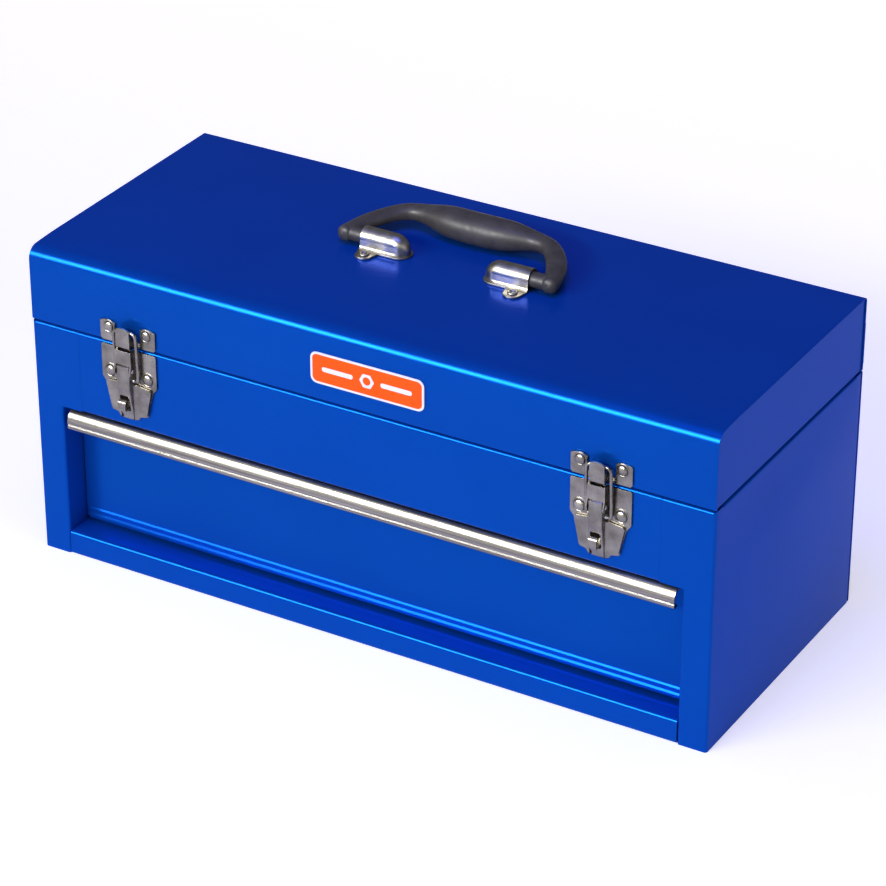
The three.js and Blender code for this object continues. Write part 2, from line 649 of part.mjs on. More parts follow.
/** Keeper on the lid: two riveted ears, and between them a claw that opens upwards. */
function keeperPlate(name) {
  const ears = SIDES.map(([, side]) => {
    const [u0, u1] = mirrored(side, [KEEPER_EAR, LATCH_HALF]);
    const crown = [-1, -0.5, 0, 0.5, 1].map((t) =>
      [KEEPER_TOP - KEEPER_CROWN * t * t, (u0 + u1) / 2 + ((u1 - u0) / 2) * t]);
    return prism('y', [[KEEPER_BOTTOM, u0], ...crown, [KEEPER_BOTTOM, u1]], outwards(PLATE_V));
  });
  const claw = folded([[0, KEEPER_BOTTOM], [-CLAW_V, KEEPER_BOTTOM], [-CLAW_V, KEEPER_TOP]], PLATE)
    .map(([y, z]) => [Math.min(y, -GAP), z]);
  const bridge = block([-LATCH_HALF + SHEET, LATCH_HALF - SHEET], outwards(PLATE_V),
    [KEEPER_BOTTOM, KEEPER_BOTTOM + KEEPER_BRIDGE]);
  return piece(name, join(...ears, bridge, prism('x', claw, [-CLAW_HALF, CLAW_HALF])), nickel);
}

/** Outline of the base plate, as heights and widths: wide at the rivets, stepped in below them. */
function baseOutline() {
  const [up, inwards] = BASE_FOOT_CHAMFER;
  const right = [
    [BASE_TOP, LATCH_HALF], [BASE_SHOULDER, LATCH_HALF], [BASE_WAIST, BASE_WAIST_HALF],
    [BASE_FOOT + up, BASE_FOOT_HALF], [BASE_FOOT, BASE_FOOT_HALF - inwards],
  ];
  return [...right, ...right.map(([z, u]) => [z, -u]).reverse()];
}

/** The hole for a latch pin, right across the latch. */
const pinHole = ({ v, z }, radius) => barX(radius + PIN_FIT, [-LATCH_HALF, LATCH_HALF], -v, z);

/** The channel that carries the lever: a bridge at the top and an ear on each side of the pin. */
function leverChannel() {
  const { v, z } = LEVER_PIN;
  const low = z - EAR_R - EAR_R / 2;
  const ear = [
    [-GAP, BASE_TOP], [-CHANNEL_V, BASE_TOP], [-CHANNEL_V, CHANNEL_BOTTOM],
    ...arc(-v, z, EAR_R, Math.PI, 1.6 * Math.PI, 5), [-GAP - PLATE / 2, low], [-GAP, low],
  ];
  const wall = CHANNEL_HALF - SHEET;
  const ears = SIDES.map(([, side]) => prism('x', ear, mirrored(side, [wall, CHANNEL_HALF])));
  const bridge = block([-CHANNEL_HALF, CHANNEL_HALF], [-CHANNEL_V, -CHANNEL_V + PLATE],
    [CHANNEL_BOTTOM, BASE_TOP]);
  return cut(join(bridge, ...ears), pinHole(LEVER_PIN, LEVER_PIN_R));
}

/** The padlock staple: a strip bent out of the base plate, which passes through the lever's slot. */
function staple() {
  const [low, high] = STAPLE_Z;
  const root = -GAP - PLATE / 2;
  const line = [[root, high], [-STAPLE_V, high], [-STAPLE_V, low], [root, low]];
  return prism('x', folded(line, PLATE), [-STAPLE_HALF, STAPLE_HALF]);
}

function basePlate(name) {
  const inside = CHANNEL_HALF - SHEET;
  const window = block([-inside, inside], [-2 * PLATE, 2 * PLATE],
    [LEVER_PIN.z - LEVER_TAIL, LEVER_PIN.z + LEVER_TAIL]);
  const plate = cut(prism('y', baseOutline(), outwards(PLATE_V)), window);
  return piece(name, join(plate, leverChannel(), staple()), nickel);
}

/** Side view of the lever's channel: high at the pin, falling to the plate at its foot. */
function leverSide(wall) {
  const { v, z } = LEVER_PIN;
  const front = LEVER_V - wall;
  const back = wall ? 0 : LEVER_BACK_V;
  const foot = LEVER_BOTTOM + (wall ? LEVER_FOOT_WALL : 0);
  const radius = LEVER_NOSE_R - wall;
  return [
    [-back, foot], [-(LEVER_FOOT_V - wall), foot],
    ...LEVER_CREST.map(([crest, height]) => [-(crest - wall), height]),
    [-front, z + LEVER_NOSE_R / 2],
    ...arc(-v, z, radius, Math.PI * 0.76, Math.PI * 0.34, 5),
    [-v + radius * 0.75, z - SHEET], [-back, z - LEVER_TAIL],
  ];
}

/** The lever: a channel over the pin, with wings that spread over the foot of the base plate. */
function lever(name) {
  const wings = [
    [WING_TOP, LEVER_HALF - SHEET], [WING_TOP - 1, WING_HALF / 2], [BASE_WAIST - 1, WING_HALF],
    ...[[5, 1.5], [1, -1.5], [0, -4]].map(([up, out]) => [LEVER_BOTTOM + up, WING_FOOT_HALF + out]),
  ];
  const sheetV = outwards([LEVER_BACK_V, LEVER_BACK_V + SHEET]);
  const inside = LEVER_HALF - LEVER_WALL;
  const hollow = prism('x', leverSide(LEVER_WALL), [-inside, inside]);
  const flat = prism('y', [...wings, ...wings.map(([z, u]) => [z, -u]).reverse()], sheetV);
  const shape = cut(
    join(prism('x', leverSide(0), [-LEVER_HALF, LEVER_HALF]), flat),
    hollow,
    block([-SLOT_HALF, SLOT_HALF], [-STAPLE_V, 0], SLOT_Z),
    pinHole(LEVER_PIN, LEVER_PIN_R),
    pinHole(LINK_PIN, LINK_PIN_R),
  );
  return piece(name, shape, nickel);
}

const latchPin = (name, { v, z }, radius, half) =>
  piece(name, barX(radius, [-half, half], -v, z, 12), zincSteel);

/** Wire loop around the claw: its foot turns in towards the link pin, its bar crosses at the top. */
function drawLoop(name) {
  const path = new THREE.CurvePath();
  const foot = LEVER_HALF + PIN_OVERHANG + GAP;
  const corners = [
    [-foot, 0], [-LOOP_HALF, 0], [-LOOP_HALF, LOOP_LENGTH],
    [LOOP_HALF, LOOP_LENGTH], [LOOP_HALF, 0], [foot, 0],
  ].map(([u, s]) => new THREE.Vector3(u, 0, s));
  let from = corners[0];
  for (let i = 1; i < corners.length - 1; i += 1) {
    const corner = corners[i];
    const round = Math.min(LOOP_CORNER, corner.distanceTo(corners[i - 1]) * 0.9,
      corner.distanceTo(corners[i + 1]) * 0.9);
    const enter = corner.clone().add(from.clone().sub(corner).setLength(round));
    const leave = corner.clone().add(corners[i + 1].clone().sub(corner).setLength(round));
    path.add(new THREE.LineCurve3(from, enter));
    path.add(new THREE.QuadraticBezierCurve3(enter, corner, leave));
    from = leave;
  }
  path.add(new THREE.LineCurve3(from, corners.at(-1)));
  const section = new THREE.Shape().absarc(0, 0, LOOP_WIRE_R, 0, 2 * Math.PI);
  const wire = new THREE.ExtrudeGeometry(section, { steps: 60, curveSegments: 4, extrudePath: path });
  const loop = piece(name, geometryOf(solid(wire)), nickel);
  loop.position.set(0, -LINK_PIN.v, LINK_PIN.z);
  loop.rotation.x = LOOP_LEAN;
  return loop;
}

/** One whole latch, both halves, in its own group on the front. */
function latch(word, side) {
  const group = new THREE.Group();
  group.position.set(LATCH_X * side, FRONT, 0);
  const onPlate = -PLATE_V[1] - GAP;
  const rivets = [['keeper', KEEPER_RIVET_Z, 3.6, 1.9], ['latch_base', BASE_RIVET_Z, 4, 2.2]];
  for (const [half, z, radius, height] of rivets) {
    for (const [place, way] of SIDES) {
      const rivet = rivetHead(`${word}_${half}_${place}_rivet`, radius, height, nickel);
      rivet.position.set(RIVET_U * way, onPlate, z);
      rivet.rotation.x = Math.PI / 2;
      group.add(rivet);
    }
  }
  group.add(
    keeperPlate(`${word}_keeper`), basePlate(`${word}_latch_base`), lever(`${word}_lever`),
    latchPin(`${word}_lever_pin`, LEVER_PIN, LEVER_PIN_R, CHANNEL_HALF + GAP),
    latchPin(`${word}_link_pin`, LINK_PIN, LINK_PIN_R, LEVER_HALF + PIN_OVERHANG),
    drawLoop(`${word}_draw_loop`),
  );
  return group;
}

// ---------------------------------------------------------------- assembly

const toolBox = new THREE.Group();

const body = new THREE.Group();
body.add(...SIDES.map(([word, side]) => sidePanel(`${word}_side_panel`, side)));
body.add(backPanel(), frontUpperPanel(), frontLowerRail());
body.add(floorPan('bottom_pan', 0, FRONT + RECESS + 0.5, bluePaint));
body.add(floorPan('divider_shelf', SHELF_Z, FRONT + 2 * SHEET + 2 * GAP, bluePaint));
body.add(...SIDES.map(([word, side]) => outerSlide(`${word}_outer_slide`, side)));
body.add(hingeBodyLeaf(), hingePin());

const lid = new THREE.Group();
lid.add(lidShell(), badge(), hingeLidLeaf());
lid.add(...SIDES.map(([word, side]) => lidEnd(`${word}_lid_end`, side)));
lid.add(...handleSet());

const drawer = new THREE.Group();
drawer.add(drawerTray(), drawerFront(), drawerPull());
drawer.add(...SIDES.map(([word, side]) => innerSlide(`${word}_inner_slide`, side)));

toolBox.add(body, lid, drawer, ...SIDES.map(([word, side]) => latch(word, side)));

export default toolBox;
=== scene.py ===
"""The looks of a sheet-steel tool chest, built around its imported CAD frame.

Lengths in this script are millimetres and become metres where a mesh is made. X runs to the right,
Y to the back and Z up. The front faces -Y.
"""

import math

import bmesh
import bpy
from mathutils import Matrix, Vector

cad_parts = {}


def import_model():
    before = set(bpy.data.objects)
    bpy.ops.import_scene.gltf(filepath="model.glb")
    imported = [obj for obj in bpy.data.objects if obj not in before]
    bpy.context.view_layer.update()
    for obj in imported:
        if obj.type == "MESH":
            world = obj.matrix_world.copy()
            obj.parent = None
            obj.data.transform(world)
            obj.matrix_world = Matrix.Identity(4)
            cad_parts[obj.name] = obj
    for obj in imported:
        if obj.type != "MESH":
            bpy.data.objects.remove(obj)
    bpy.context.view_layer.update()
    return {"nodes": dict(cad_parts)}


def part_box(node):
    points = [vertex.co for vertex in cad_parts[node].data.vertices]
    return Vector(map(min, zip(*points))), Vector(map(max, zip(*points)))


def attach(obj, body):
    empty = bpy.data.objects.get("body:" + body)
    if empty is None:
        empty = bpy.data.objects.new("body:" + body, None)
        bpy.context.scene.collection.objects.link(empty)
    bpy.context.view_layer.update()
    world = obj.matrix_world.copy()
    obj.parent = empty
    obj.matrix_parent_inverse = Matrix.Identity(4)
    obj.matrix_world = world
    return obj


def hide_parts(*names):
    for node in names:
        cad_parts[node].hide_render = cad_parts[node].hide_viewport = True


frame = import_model()

MM = 0.001
HALF_TURN = math.pi
QUARTER = math.pi / 2
SIDES = (("left", -1), ("right", 1))


def span(node):
    """A CAD node's lowest and highest x, y and z."""
    low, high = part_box(node)
    return [(a / MM, b / MM) for a, b in zip(low, high)]


def run(side, near, far):
    """Lowest and highest x of a stretch on one side, from its distances to the middle."""
    return sorted((side * near, side * far))


# -------------------- sizes of the frame and the sheet

LID = span("lid_shell")
SIDE = LID[0][1]
FRONT, BACK = LID[1]
LID_BOTTOM, TOP = LID[2]
PANEL = span("front_upper_panel")
BODY_TOP = PANEL[2][1]
OPENING_TOP = PANEL[2][0]
RAIL = span("front_lower_rail")
DRAWER = span("drawer_front")
PULL = span("drawer_pull")
BADGE = span("badge")
SHEET = 1.0         # thickness of the folded sheet
BEND = 2.0          # outer radius of an ordinary fold
RIM_BEND = 2.2      # and of the folds along the body's rim
LIP = 8.0           # width of a lip that is folded in
GAP = 0.3           # between pieces that touch
RECESS = 20.0       # depth of the lower rail's floor
REAR_FLANGE = 14.0
PANEL_TAB = 14.0    # how far the front panel's tabs reach behind the stiles
DRAWER_BAND = 1.4   # how far the CAD drawer front's bottom band stands out
DRAWER_FACE = DRAWER[1][0] + DRAWER_BAND
STILE_SEAM = PANEL[0][1] - PANEL_TAB + GAP
OPENING_HALF = RAIL[0][1] + GAP


# -------------------- outlines

def arc(cx, cy, radius, start, end, steps=8):
    """Points on an arc, both ends included."""
    turns = [start + (end - start) * i / steps for i in range(steps + 1)]
    return [(cx + radius * math.cos(t), cy + radius * math.sin(t)) for t in turns]


def corner_arc(before, corner, after, radius, steps):
    """The rounded corner that replaces a sharp one."""
    back = (Vector(before) - Vector(corner)).normalized()
    ahead = (Vector(after) - Vector(corner)).normalized()
    half = back.angle(ahead) / 2
    centre = Vector(corner) + (back + ahead).normalized() * (radius / math.sin(half))
    run = radius / math.tan(half)
    first = Vector(corner) + back * run - centre
    last = Vector(corner) + ahead * run - centre
    start = math.atan2(first.y, first.x)
    turn = math.remainder(math.atan2(last.y, last.x) - start, 2 * math.pi)
    return arc(centre.x, centre.y, radius, start, start + turn, steps)


def rounded(line, radii, steps=6):
    """An open line with each inner corner rounded."""
    radii = radii if isinstance(radii, (list, tuple)) else [radii] * (len(line) - 2)
    inner = [corner_arc(line[i], line[i + 1], line[i + 2], r, steps) for i, r in enumerate(radii)]
    return [line[0], *[p for points in inner for p in points], line[-1]]


def rounded_loop(points, radii, steps=4):
    """A closed outline with every corner rounded."""
    radii = radii if isinstance(radii, (list, tuple)) else [radii] * len(points)
    found = []
    for i, point in enumerate(points):
        found += corner_arc(points[i - 1], point, points[(i + 1) % len(points)], radii[i], steps)
    return found


def offset(line, distance):
    """The same open line moved to its right."""
    moved = []
    for i, point in enumerate(line):
        before = Vector(line[max(i, 1)]) - Vector(line[max(i, 1) - 1])
        here = min(i, len(line) - 2)
        after = Vector(line[here + 1]) - Vector(line[here])
        a, b = before.normalized(), after.normalized()
        scale = distance / (1 + a.dot(b))
        moved.append((point[0] + (a.y + b.y) * scale, point[1] - (a.x + b.x) * scale))
    return moved


def folded(line, radii, steps=6, thickness=SHEET):
    """Closed outline of a folded sheet. The metal is to the right of its line, or to the left below 0."""
    outer = rounded(line, radii, steps)
    return outer + offset(outer, thickness)[::-1]


def mirrored(points):
    """Half an outline and its mirror image across the x = 0 line."""
    return points + [(-x, y) for x, y in reversed(points)]


# -------------------- meshes

def mesh_object(name, points, faces):
    """An object with a closed mesh, from points in millimetres."""
    mesh = bpy.data.meshes.new(name)
    mesh.from_pydata([Vector(p) * MM for p in points], [], faces)
    tidy_faces(mesh)
    made = bpy.data.objects.new(name, mesh)
    bpy.context.scene.collection.objects.link(made)
    return made


def tidy_faces(mesh):
    """Turns every face outwards and shades it smoothly."""
    work = bmesh.new()
    work.from_mesh(mesh)
    bmesh.ops.remove_doubles(work, verts=work.verts, dist=1e-7)
    bmesh.ops.recalc_face_normals(work, faces=work.faces)
    work.to_mesh(mesh)
    work.free()
    mesh.shade_smooth()


def loft(name, rings):
    """A mesh through rings that have the same number of points, with a flat cap at each end."""
    count = len(rings[0])
    points = [p for ring in rings for p in ring]
    faces = []
    for a in range(0, len(points) - count, count):
        b = a + count
        faces += [(a + j, a + (j + 1) % count, b + (j + 1) % count, b + j) for j in range(count)]
    faces += [tuple(range(count)), tuple(range(len(points) - count, len(points)))]
    return mesh_object(name, points, faces)


PLANES = {
    "x": lambda at, a, b: (at, a, b),
    "y": lambda at, a, b: (a, at, b),
    "z": lambda at, a, b: (a, b, at),
}


def prism(name, axis, outline, ends):
    """A prism along an axis. Its outline holds the other two coordinates, in their own order."""
    place = PLANES[axis]
    return loft(name, [[place(at, a, b) for a, b in outline] for at in ends])


def block(name, xs, ys, zs):
    """A solid box."""
    corners = [(xs[0], ys[0]), (xs[1], ys[0]), (xs[1], ys[1]), (xs[0], ys[1])]
    return prism(name, "z", corners, zs)


def lathe(name, profile, axis, origin, steps=32):
    """A turned solid. The profile holds radius and height along the axis, from the axis to the axis."""
    place = PLANES[axis]
    inner = profile[1:-1]
    points = []
    for i in range(steps):
        turn = 2 * math.pi * i / steps
        points += [place(h, r * math.cos(turn), r * math.sin(turn)) for r, h in inner]
    first, last = len(points), len(points) + 1
    points += [place(profile[0][1], 0, 0), place(profile[-1][1], 0, 0)]
    faces, count = [], len(inner)
    for i in range(steps):
        a, b = i * count, (i + 1) % steps * count
        faces += [(a + j, a + j + 1, b + j + 1, b + j) for j in range(count - 1)]
        faces += [(first, a, b), (last, b + count - 1, a + count - 1)]
    moved = [tuple(p[k] + origin[k] for k in range(3)) for p in points]
    return mesh_object(name, moved, faces)


def smooth_path(points, per_span):
    """A Catmull-Rom curve through points, with per_span steps from each to the next."""
    points = [Vector(p) for p in points]
    padded = [2 * points[0] - points[1], *points, 2 * points[-1] - points[-2]]
    path = []
    for a, b, c, d in zip(padded, padded[1:], padded[2:], padded[3:]):
        for i in range(per_span):
            t = i / per_span
            path.append(0.5 * (2 * b + (c - a) * t + (2 * a - 5 * b + 4 * c - d) * t * t
                               + (3 * b - a - 3 * c + d) * t ** 3))
    return path + [points[-1]]


def heading(path, i):
    """The direction of a path at one of its points."""
    return (path[min(i + 1, len(path) - 1)] - path[max(i - 1, 0)]).normalized()


def tube(name, path, radius, sides=16):
    """A round bar along a path."""
    turns = [2 * math.pi * k / sides for k in range(sides)]
    rings, side = [], None
    for i, point in enumerate(path):
        ahead = heading(path, i)
        side = ahead.orthogonal() if side is None else side - ahead * side.dot(ahead)
        side = side.normalized()
        up = ahead.cross(side)
        rings.append([point + (side * math.cos(t) + up * math.sin(t)) * radius for t in turns])
    return loft(name, rings)


def boolean(target, operation, tools):
    """Joins the tools to the target, or cuts them out of it, and removes them."""
    for tool in tools:
        step = target.modifiers.new("step", "BOOLEAN")
        step.operation = operation
        step.solver = "EXACT"
        step.object = tool
        bpy.context.view_layer.update()
        shape = target.evaluated_get(bpy.context.evaluated_depsgraph_get())
        result = bpy.data.meshes.new_from_object(shape)
        target.modifiers.clear()
        target.data = result
        bpy.data.objects.remove(tool)
    tidy_faces(target.data)
    return target


def join(target, *tools):
    return boolean(target, "UNION", tools)


def cut(target, *tools):
    return boolean(target, "DIFFERENCE", tools)


SHARP_ANGLE = math.radians(30)
WELD_REACH = 0.01
KEPT_EDGE = 0.25


def soften(target, width, segments=2, weld=False):
    """Bevels the sharp edges, with shading that keeps flat faces flat."""
    if weld:
        merge = target.modifiers.new("weld", "WELD")
        merge.merge_threshold = WELD_REACH * MM
    bevel = target.modifiers.new("edges", "BEVEL")
    bevel.width = width * MM
    bevel.segments = segments
    bevel.limit_method = "ANGLE"
    bevel.angle_limit = SHARP_ANGLE
    bevel.harden_normals = True
    bevel.use_clamp_overlap = True
    target.data.shade_smooth()
    return target


def finish_piece(target, body, nodes, material, edge=0.3, segments=2):
    """Gives a new piece its edges, material and body, and hides the CAD nodes that it stands for."""
    if edge:
        soften(target, edge, segments)
    target.data.materials.clear()
    target.data.materials.append(material)
    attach(target, body)
    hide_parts(*nodes)
    return target


def keep(node, material):
    """Keeps a CAD node, with soft edges and a better material."""
    target = frame["nodes"][node]
    soften(target, KEPT_EDGE, weld=True)
    target.data.materials.clear()
    target.data.materials.append(material)


# -------------------- materials

# A mix node has a set of sockets for each kind of value under the same names, so its colour sockets
# are known by their numbers.
MIX_FIRST = 6
MIX_SECOND = 7
MIX_RESULT = 2


class Nodes:
    """A material's node tree, with short names for the nodes used here."""

    def __init__(self, name, colour, roughness, metallic=0.0):
        self.material = bpy.data.materials.new(name)
        self.material.use_nodes = True
        self.tree = self.material.node_tree
        self.shader = self.tree.nodes["Principled BSDF"]
        self.set(self.shader, {"Base Color": (*colour, 1), "Roughness": roughness, "Metallic": metallic})
        self.place = self.add("ShaderNodeTexCoord").outputs["Object"]

    def add(self, kind, links=None, **values):
        """Adds a node, links its inputs and sets its values."""
        node = self.tree.nodes.new(kind)
        self.set(node, values)
        for socket, source in (links or {}).items():
            self.tree.links.new(source, node.inputs[socket])
        return node

    @staticmethod
    def set(node, values):
        """Sets a node's inputs, or its own settings where it has no such input."""
        for key, value in values.items():
            if key in node.inputs:
                node.inputs[key].default_value = value
            else:
                setattr(node, key, value)

    def stretched(self, scale):
        """The object's own coordinates, multiplied along x, y and z."""
        mapping = self.add("ShaderNodeMapping", {"Vector": self.place})
        mapping.inputs["Scale"].default_value = scale
        return mapping.outputs["Vector"]

    def noise(self, scale, detail, stretch=None, roughness=0.5):
        """Noise over the object's own coordinates, or over stretched ones."""
        place = self.stretched(stretch) if stretch else self.place
        return self.add("ShaderNodeTexNoise", {"Vector": place}, Scale=scale, Detail=detail,
                        Roughness=roughness).outputs["Fac"]

    def remap(self, source, low, high, start=0.3, end=0.7):
        """Takes start to low and end to high, and stays between them."""
        node = self.add("ShaderNodeMapRange", {"Value": source})
        for socket, value in (("From Min", start), ("From Max", end), ("To Min", low), ("To Max", high)):
            node.inputs[socket].default_value = value
        return node.outputs["Result"]

    def mix(self, factor, first, second):
        """Mixes two colours by a factor."""
        node = self.tree.nodes.new("ShaderNodeMix")
        node.data_type = "RGBA"
        self.tree.links.new(factor, node.inputs["Factor"])
        for socket, colour in ((MIX_FIRST, first), (MIX_SECOND, second)):
            node.inputs[socket].default_value = (*colour, 1)
        return node.outputs[MIX_RESULT]

    def into(self, socket, source):
        """Links a value to one of the shader's inputs."""
        self.tree.links.new(source, self.shader.inputs[socket])

    def bump(self, layers):
        """Stacks bumps, each a height, its depth in millimetres and its strength."""
        normal = None
        for height, depth, strength in layers:
            links = {"Height": height}
            if normal:
                links["Normal"] = normal
            node = self.add("ShaderNodeBump", links, Strength=strength, Distance=depth * MM)
            normal = node.outputs["Normal"]
        self.into("Normal", normal)


def blue_paint():
    """Deep blue powder coat: faint orange peel, a very slightly wavy sheet under it.

    The low index and the blue tint keep the white surroundings from turning its reflections grey.
    """
    m = Nodes("blue_paint", (0.002, 0.06, 0.345), 0.22, 0.3)
    m.set(m.shader, {"Specular Tint": (0.05, 0.4, 1.0, 1), "IOR": 1.12})
    cloud = m.noise(9.0, 3.0)
    shades = (0.002, 0.0575, 0.335), (0.002, 0.0625, 0.355)
    m.into("Base Color", m.mix(m.remap(cloud, 0.0, 1.0), *shades))
    m.into("Roughness", m.remap(m.noise(40.0, 3.0), 0.2, 0.24))
    m.bump([(m.noise(10.0, 1.0), 0.25, 0.3), (m.noise(750.0, 1.0), 0.015, 0.2)])
    return m.material


def plated(name, colour, dark, roughness, grain):
    """Plated steel: fine grain and patches of duller plate."""
    m = Nodes(name, colour, sum(roughness) / 2, 1.0)
    patches = m.remap(m.noise(70.0, 4.0), 0.0, 1.0)
    m.into("Base Color", m.mix(patches, dark, colour))
    m.into("Roughness", m.remap(m.noise(220.0, 4.0, roughness=0.65), *roughness))
    m.bump([(m.noise(grain, 3.0), 0.03, 0.3), (m.noise(120.0, 2.0), 0.12, 0.25)])
    return m.material


def brushed(name, colour, dark, roughness):
    """Anodised strip with long drawing lines along x."""
    m = Nodes(name, colour, sum(roughness) / 2, 1.0)
    lines = m.noise(1.0, 5.0, stretch=(6.0, 900.0, 900.0), roughness=0.6)
    fine = m.noise(1.0, 3.0, stretch=(25.0, 3200.0, 3200.0))
    m.into("Base Color", m.mix(m.remap(lines, 0.0, 1.0), dark, colour))
    m.into("Roughness", m.remap(fine, *roughness))
    m.bump([(lines, 0.02, 0.2), (fine, 0.01, 0.2)])
    return m.material


def grip_plastic():
    """Dark grey-brown moulded plastic with a rubbed, finely grained surface."""
    m = Nodes("grip_plastic", (0.05, 0.046, 0.039), 0.42)
    m.set(m.shader, {"Specular IOR Level": 0.25})
    cloud = m.remap(m.noise(90.0, 5.0, roughness=0.7), 0.0, 1.0)
    m.into("Base Color", m.mix(cloud, (0.043, 0.038, 0.029), (0.08, 0.072, 0.056)))
    m.into("Roughness", m.remap(m.noise(300.0, 4.0), 0.42, 0.58))
    m.bump([(m.noise(900.0, 3.0), 0.08, 0.4), (m.noise(60.0, 2.0), 0.15, 0.3)])
    return m.material


def enamel(name, colour, dark):
    """Glossy printed enamel with a faint mottle."""
    m = Nodes(name, colour, 0.3)
    m.set(m.shader, {"Specular IOR Level": 0.12})
    m.into("Base Color", m.mix(m.remap(m.noise(60.0, 3.0), 0.0, 1.0), dark, colour))
    m.into("Roughness", m.remap(m.noise(200.0, 3.0), 0.25, 0.38))
    m.bump([(m.noise(500.0, 2.0), 0.02, 0.25)])
    return m.material


BLUE = blue_paint()
NICKEL = plated("satin_nickel", (0.28, 0.262, 0.225), (0.13, 0.12, 0.1), (0.22, 0.38), 1500.0)
CHROME = plated("worn_chrome", (0.32, 0.305, 0.265), (0.15, 0.14, 0.12), (0.28, 0.46), 1200.0)
ZINC = plated("zinc_plate", (0.5, 0.51, 0.52), (0.38, 0.39, 0.4), (0.3, 0.45), 1400.0)
ALUMINIUM = brushed("drawn_aluminium", (0.31, 0.295, 0.26), (0.12, 0.11, 0.095), (0.2, 0.34))
PLASTIC = grip_plastic()
ORANGE = enamel("orange_enamel", (1.0, 0.1, 0.0), (0.95, 0.09, 0.0))
WHITE = enamel("white_enamel", (0.82, 0.82, 0.82), (0.76, 0.76, 0.77))


# -------------------- lid

LID_FALL = 1.2              # how far the top comes down at the front
LID_EASE = 23.0             # depth over which it does
LID_EASE_ROUND = 458.0      # radius where it starts to
LID_ROUND = 9.0             # front edge
LID_BACK_ROUND = 3.0        # back edge
LID_HEM_ROUND = 1.3         # lower edges
LID_MITRE = 1.8             # width of the folded-in hem at the lid's very ends
LID_END_INSET = 1.0
LID_END_FLANGE = 12.0
BADGE_ROUND = 5.0
BADGE_RIM = 1.6
BADGE_RELIEF = 0.12         # how far the nut and bars stand out of the field
NUT_RADIUS = 5.6
NUT_HOLE = 2.9
BAR_START = 10.5
BAR_END = 34.0
BAR_HALF = 1.7
BAR_ROUND = 1.6


def lid_line():
    """The lid's outer line: the top eases down a little before it turns into the front."""
    line = [(FRONT, LID_BOTTOM), (FRONT, TOP - LID_FALL), (FRONT + LID_EASE, TOP), (BACK, TOP),
            (BACK, LID_BOTTOM)]
    return rounded(line, [LID_ROUND, LID_EASE_ROUND, LID_BACK_ROUND], 10)


def lid_cover():
    """Front, top and back of the lid as one sheet, its lower edges folded in and mitred."""
    hem = LID_HEM_ROUND

    def ring(x, lip):
        front = arc(FRONT + hem, LID_BOTTOM + hem, hem, 1.5 * HALF_TURN, HALF_TURN, 5)
        back = arc(BACK - hem, LID_BOTTOM + hem, hem, 0, -QUARTER, 5)
        outer = [(FRONT + lip, LID_BOTTOM), *front, *lid_line()[1:-1], *back, (BACK - lip, LID_BOTTOM)]
        return [(x, y, z) for y, z in outer + offset(outer, SHEET)[::-1]]

    ends = [(SIDE, LID_MITRE), (SIDE - LIP, LIP)]
    rings = [ring(-x, lip) for x, lip in ends] + [ring(x, lip) for x, lip in reversed(ends)]
    finish_piece(loft("lid_cover", rings), "lid", ["lid_shell"], BLUE)


def lid_end(word, side):
    """End of the lid: a shallow pan inside the cover, its flange and its lower lip turned in."""
    outer = SIDE - LID_END_INSET
    past = LID_END_FLANGE + 1
    line = lid_line()
    inset = offset(line, SHEET + GAP)
    hollow = offset(line, 2 * SHEET + GAP)
    hollow[0] = (hollow[0][0], LID_BOTTOM + SHEET)
    hollow[-1] = (hollow[-1][0], LID_BOTTOM + SHEET)

    pan = prism(f"{word}_lid_pan", "x", inset, run(side, outer, outer - LID_END_FLANGE))
    space = prism("space", "x", hollow, run(side, outer - SHEET, outer - past))
    ys = (inset[0][0] + 2 * SHEET, inset[-1][0] - 2 * SHEET)
    mouth = block("mouth", run(side, outer - LIP, outer - past), ys, (LID_BOTTOM - 1, LID_BOTTOM + 2))
    made = cut(pan, space, mouth)
    finish_piece(made, "lid", [f"{word}_lid_end"], BLUE, 0.45, 3)


def badge_plate():
    """Plain badge: a white rim around an orange field with a hexagonal nut between two bars."""
    (x0, x1), (y0, y1), (z0, z1) = BADGE
    middle = (x0 + x1) / 2
    height = (z0 + z1) / 2
    raised = (y0 - BADGE_RELIEF, y0 + 0.2)

    def panel(name, inset, ys, radius, material, owns):
        corners = [(x0 + inset, z0 + inset), (x1 - inset, z0 + inset),
                   (x1 - inset, z1 - inset), (x0 + inset, z1 - inset)]
        plate = prism(name, "y", rounded_loop(corners, radius, 8), ys)
        return finish_piece(plate, "lid", owns, material, 0.15)

    panel("badge_rim", 0, (y0 + 0.15, y1), BADGE_ROUND, WHITE, ["badge"])
    panel("badge_field", BADGE_RIM, (y0, y0 + 0.3), 3.6, ORANGE, [])
    hexagon = [(middle + NUT_RADIUS * math.cos(t), height + NUT_RADIUS * math.sin(t))
               for t in (HALF_TURN / 3 * i for i in range(6))]
    nut = prism("badge_nut", "y", rounded_loop(hexagon, 0.6, 3), raised)
    hole = lathe("hole", [(0, -2), (NUT_HOLE, -2), (NUT_HOLE, 2), (0, 2)], "y", (middle, y0, height))
    finish_piece(cut(nut, hole), "lid", [], WHITE, 0.06)
    for word, side in SIDES:
        near, far = middle + side * BAR_START, middle + side * BAR_END
        corners = [(near, height - BAR_HALF), (far, height - BAR_HALF),
                   (far, height + BAR_HALF), (near, height + BAR_HALF)]
        bar = prism(f"badge_{word}_bar", "y", rounded_loop(corners[::side], BAR_ROUND, 5), raised)
        finish_piece(bar, "lid", [], WHITE, 0.06)


# -------------------- body

RIM_DEPTH = 4       # the folds along the rim replace this much of the walls' height
SEAM = 0.06         # open seam between the front panel and a stile
BODY_EDGE = 0.25


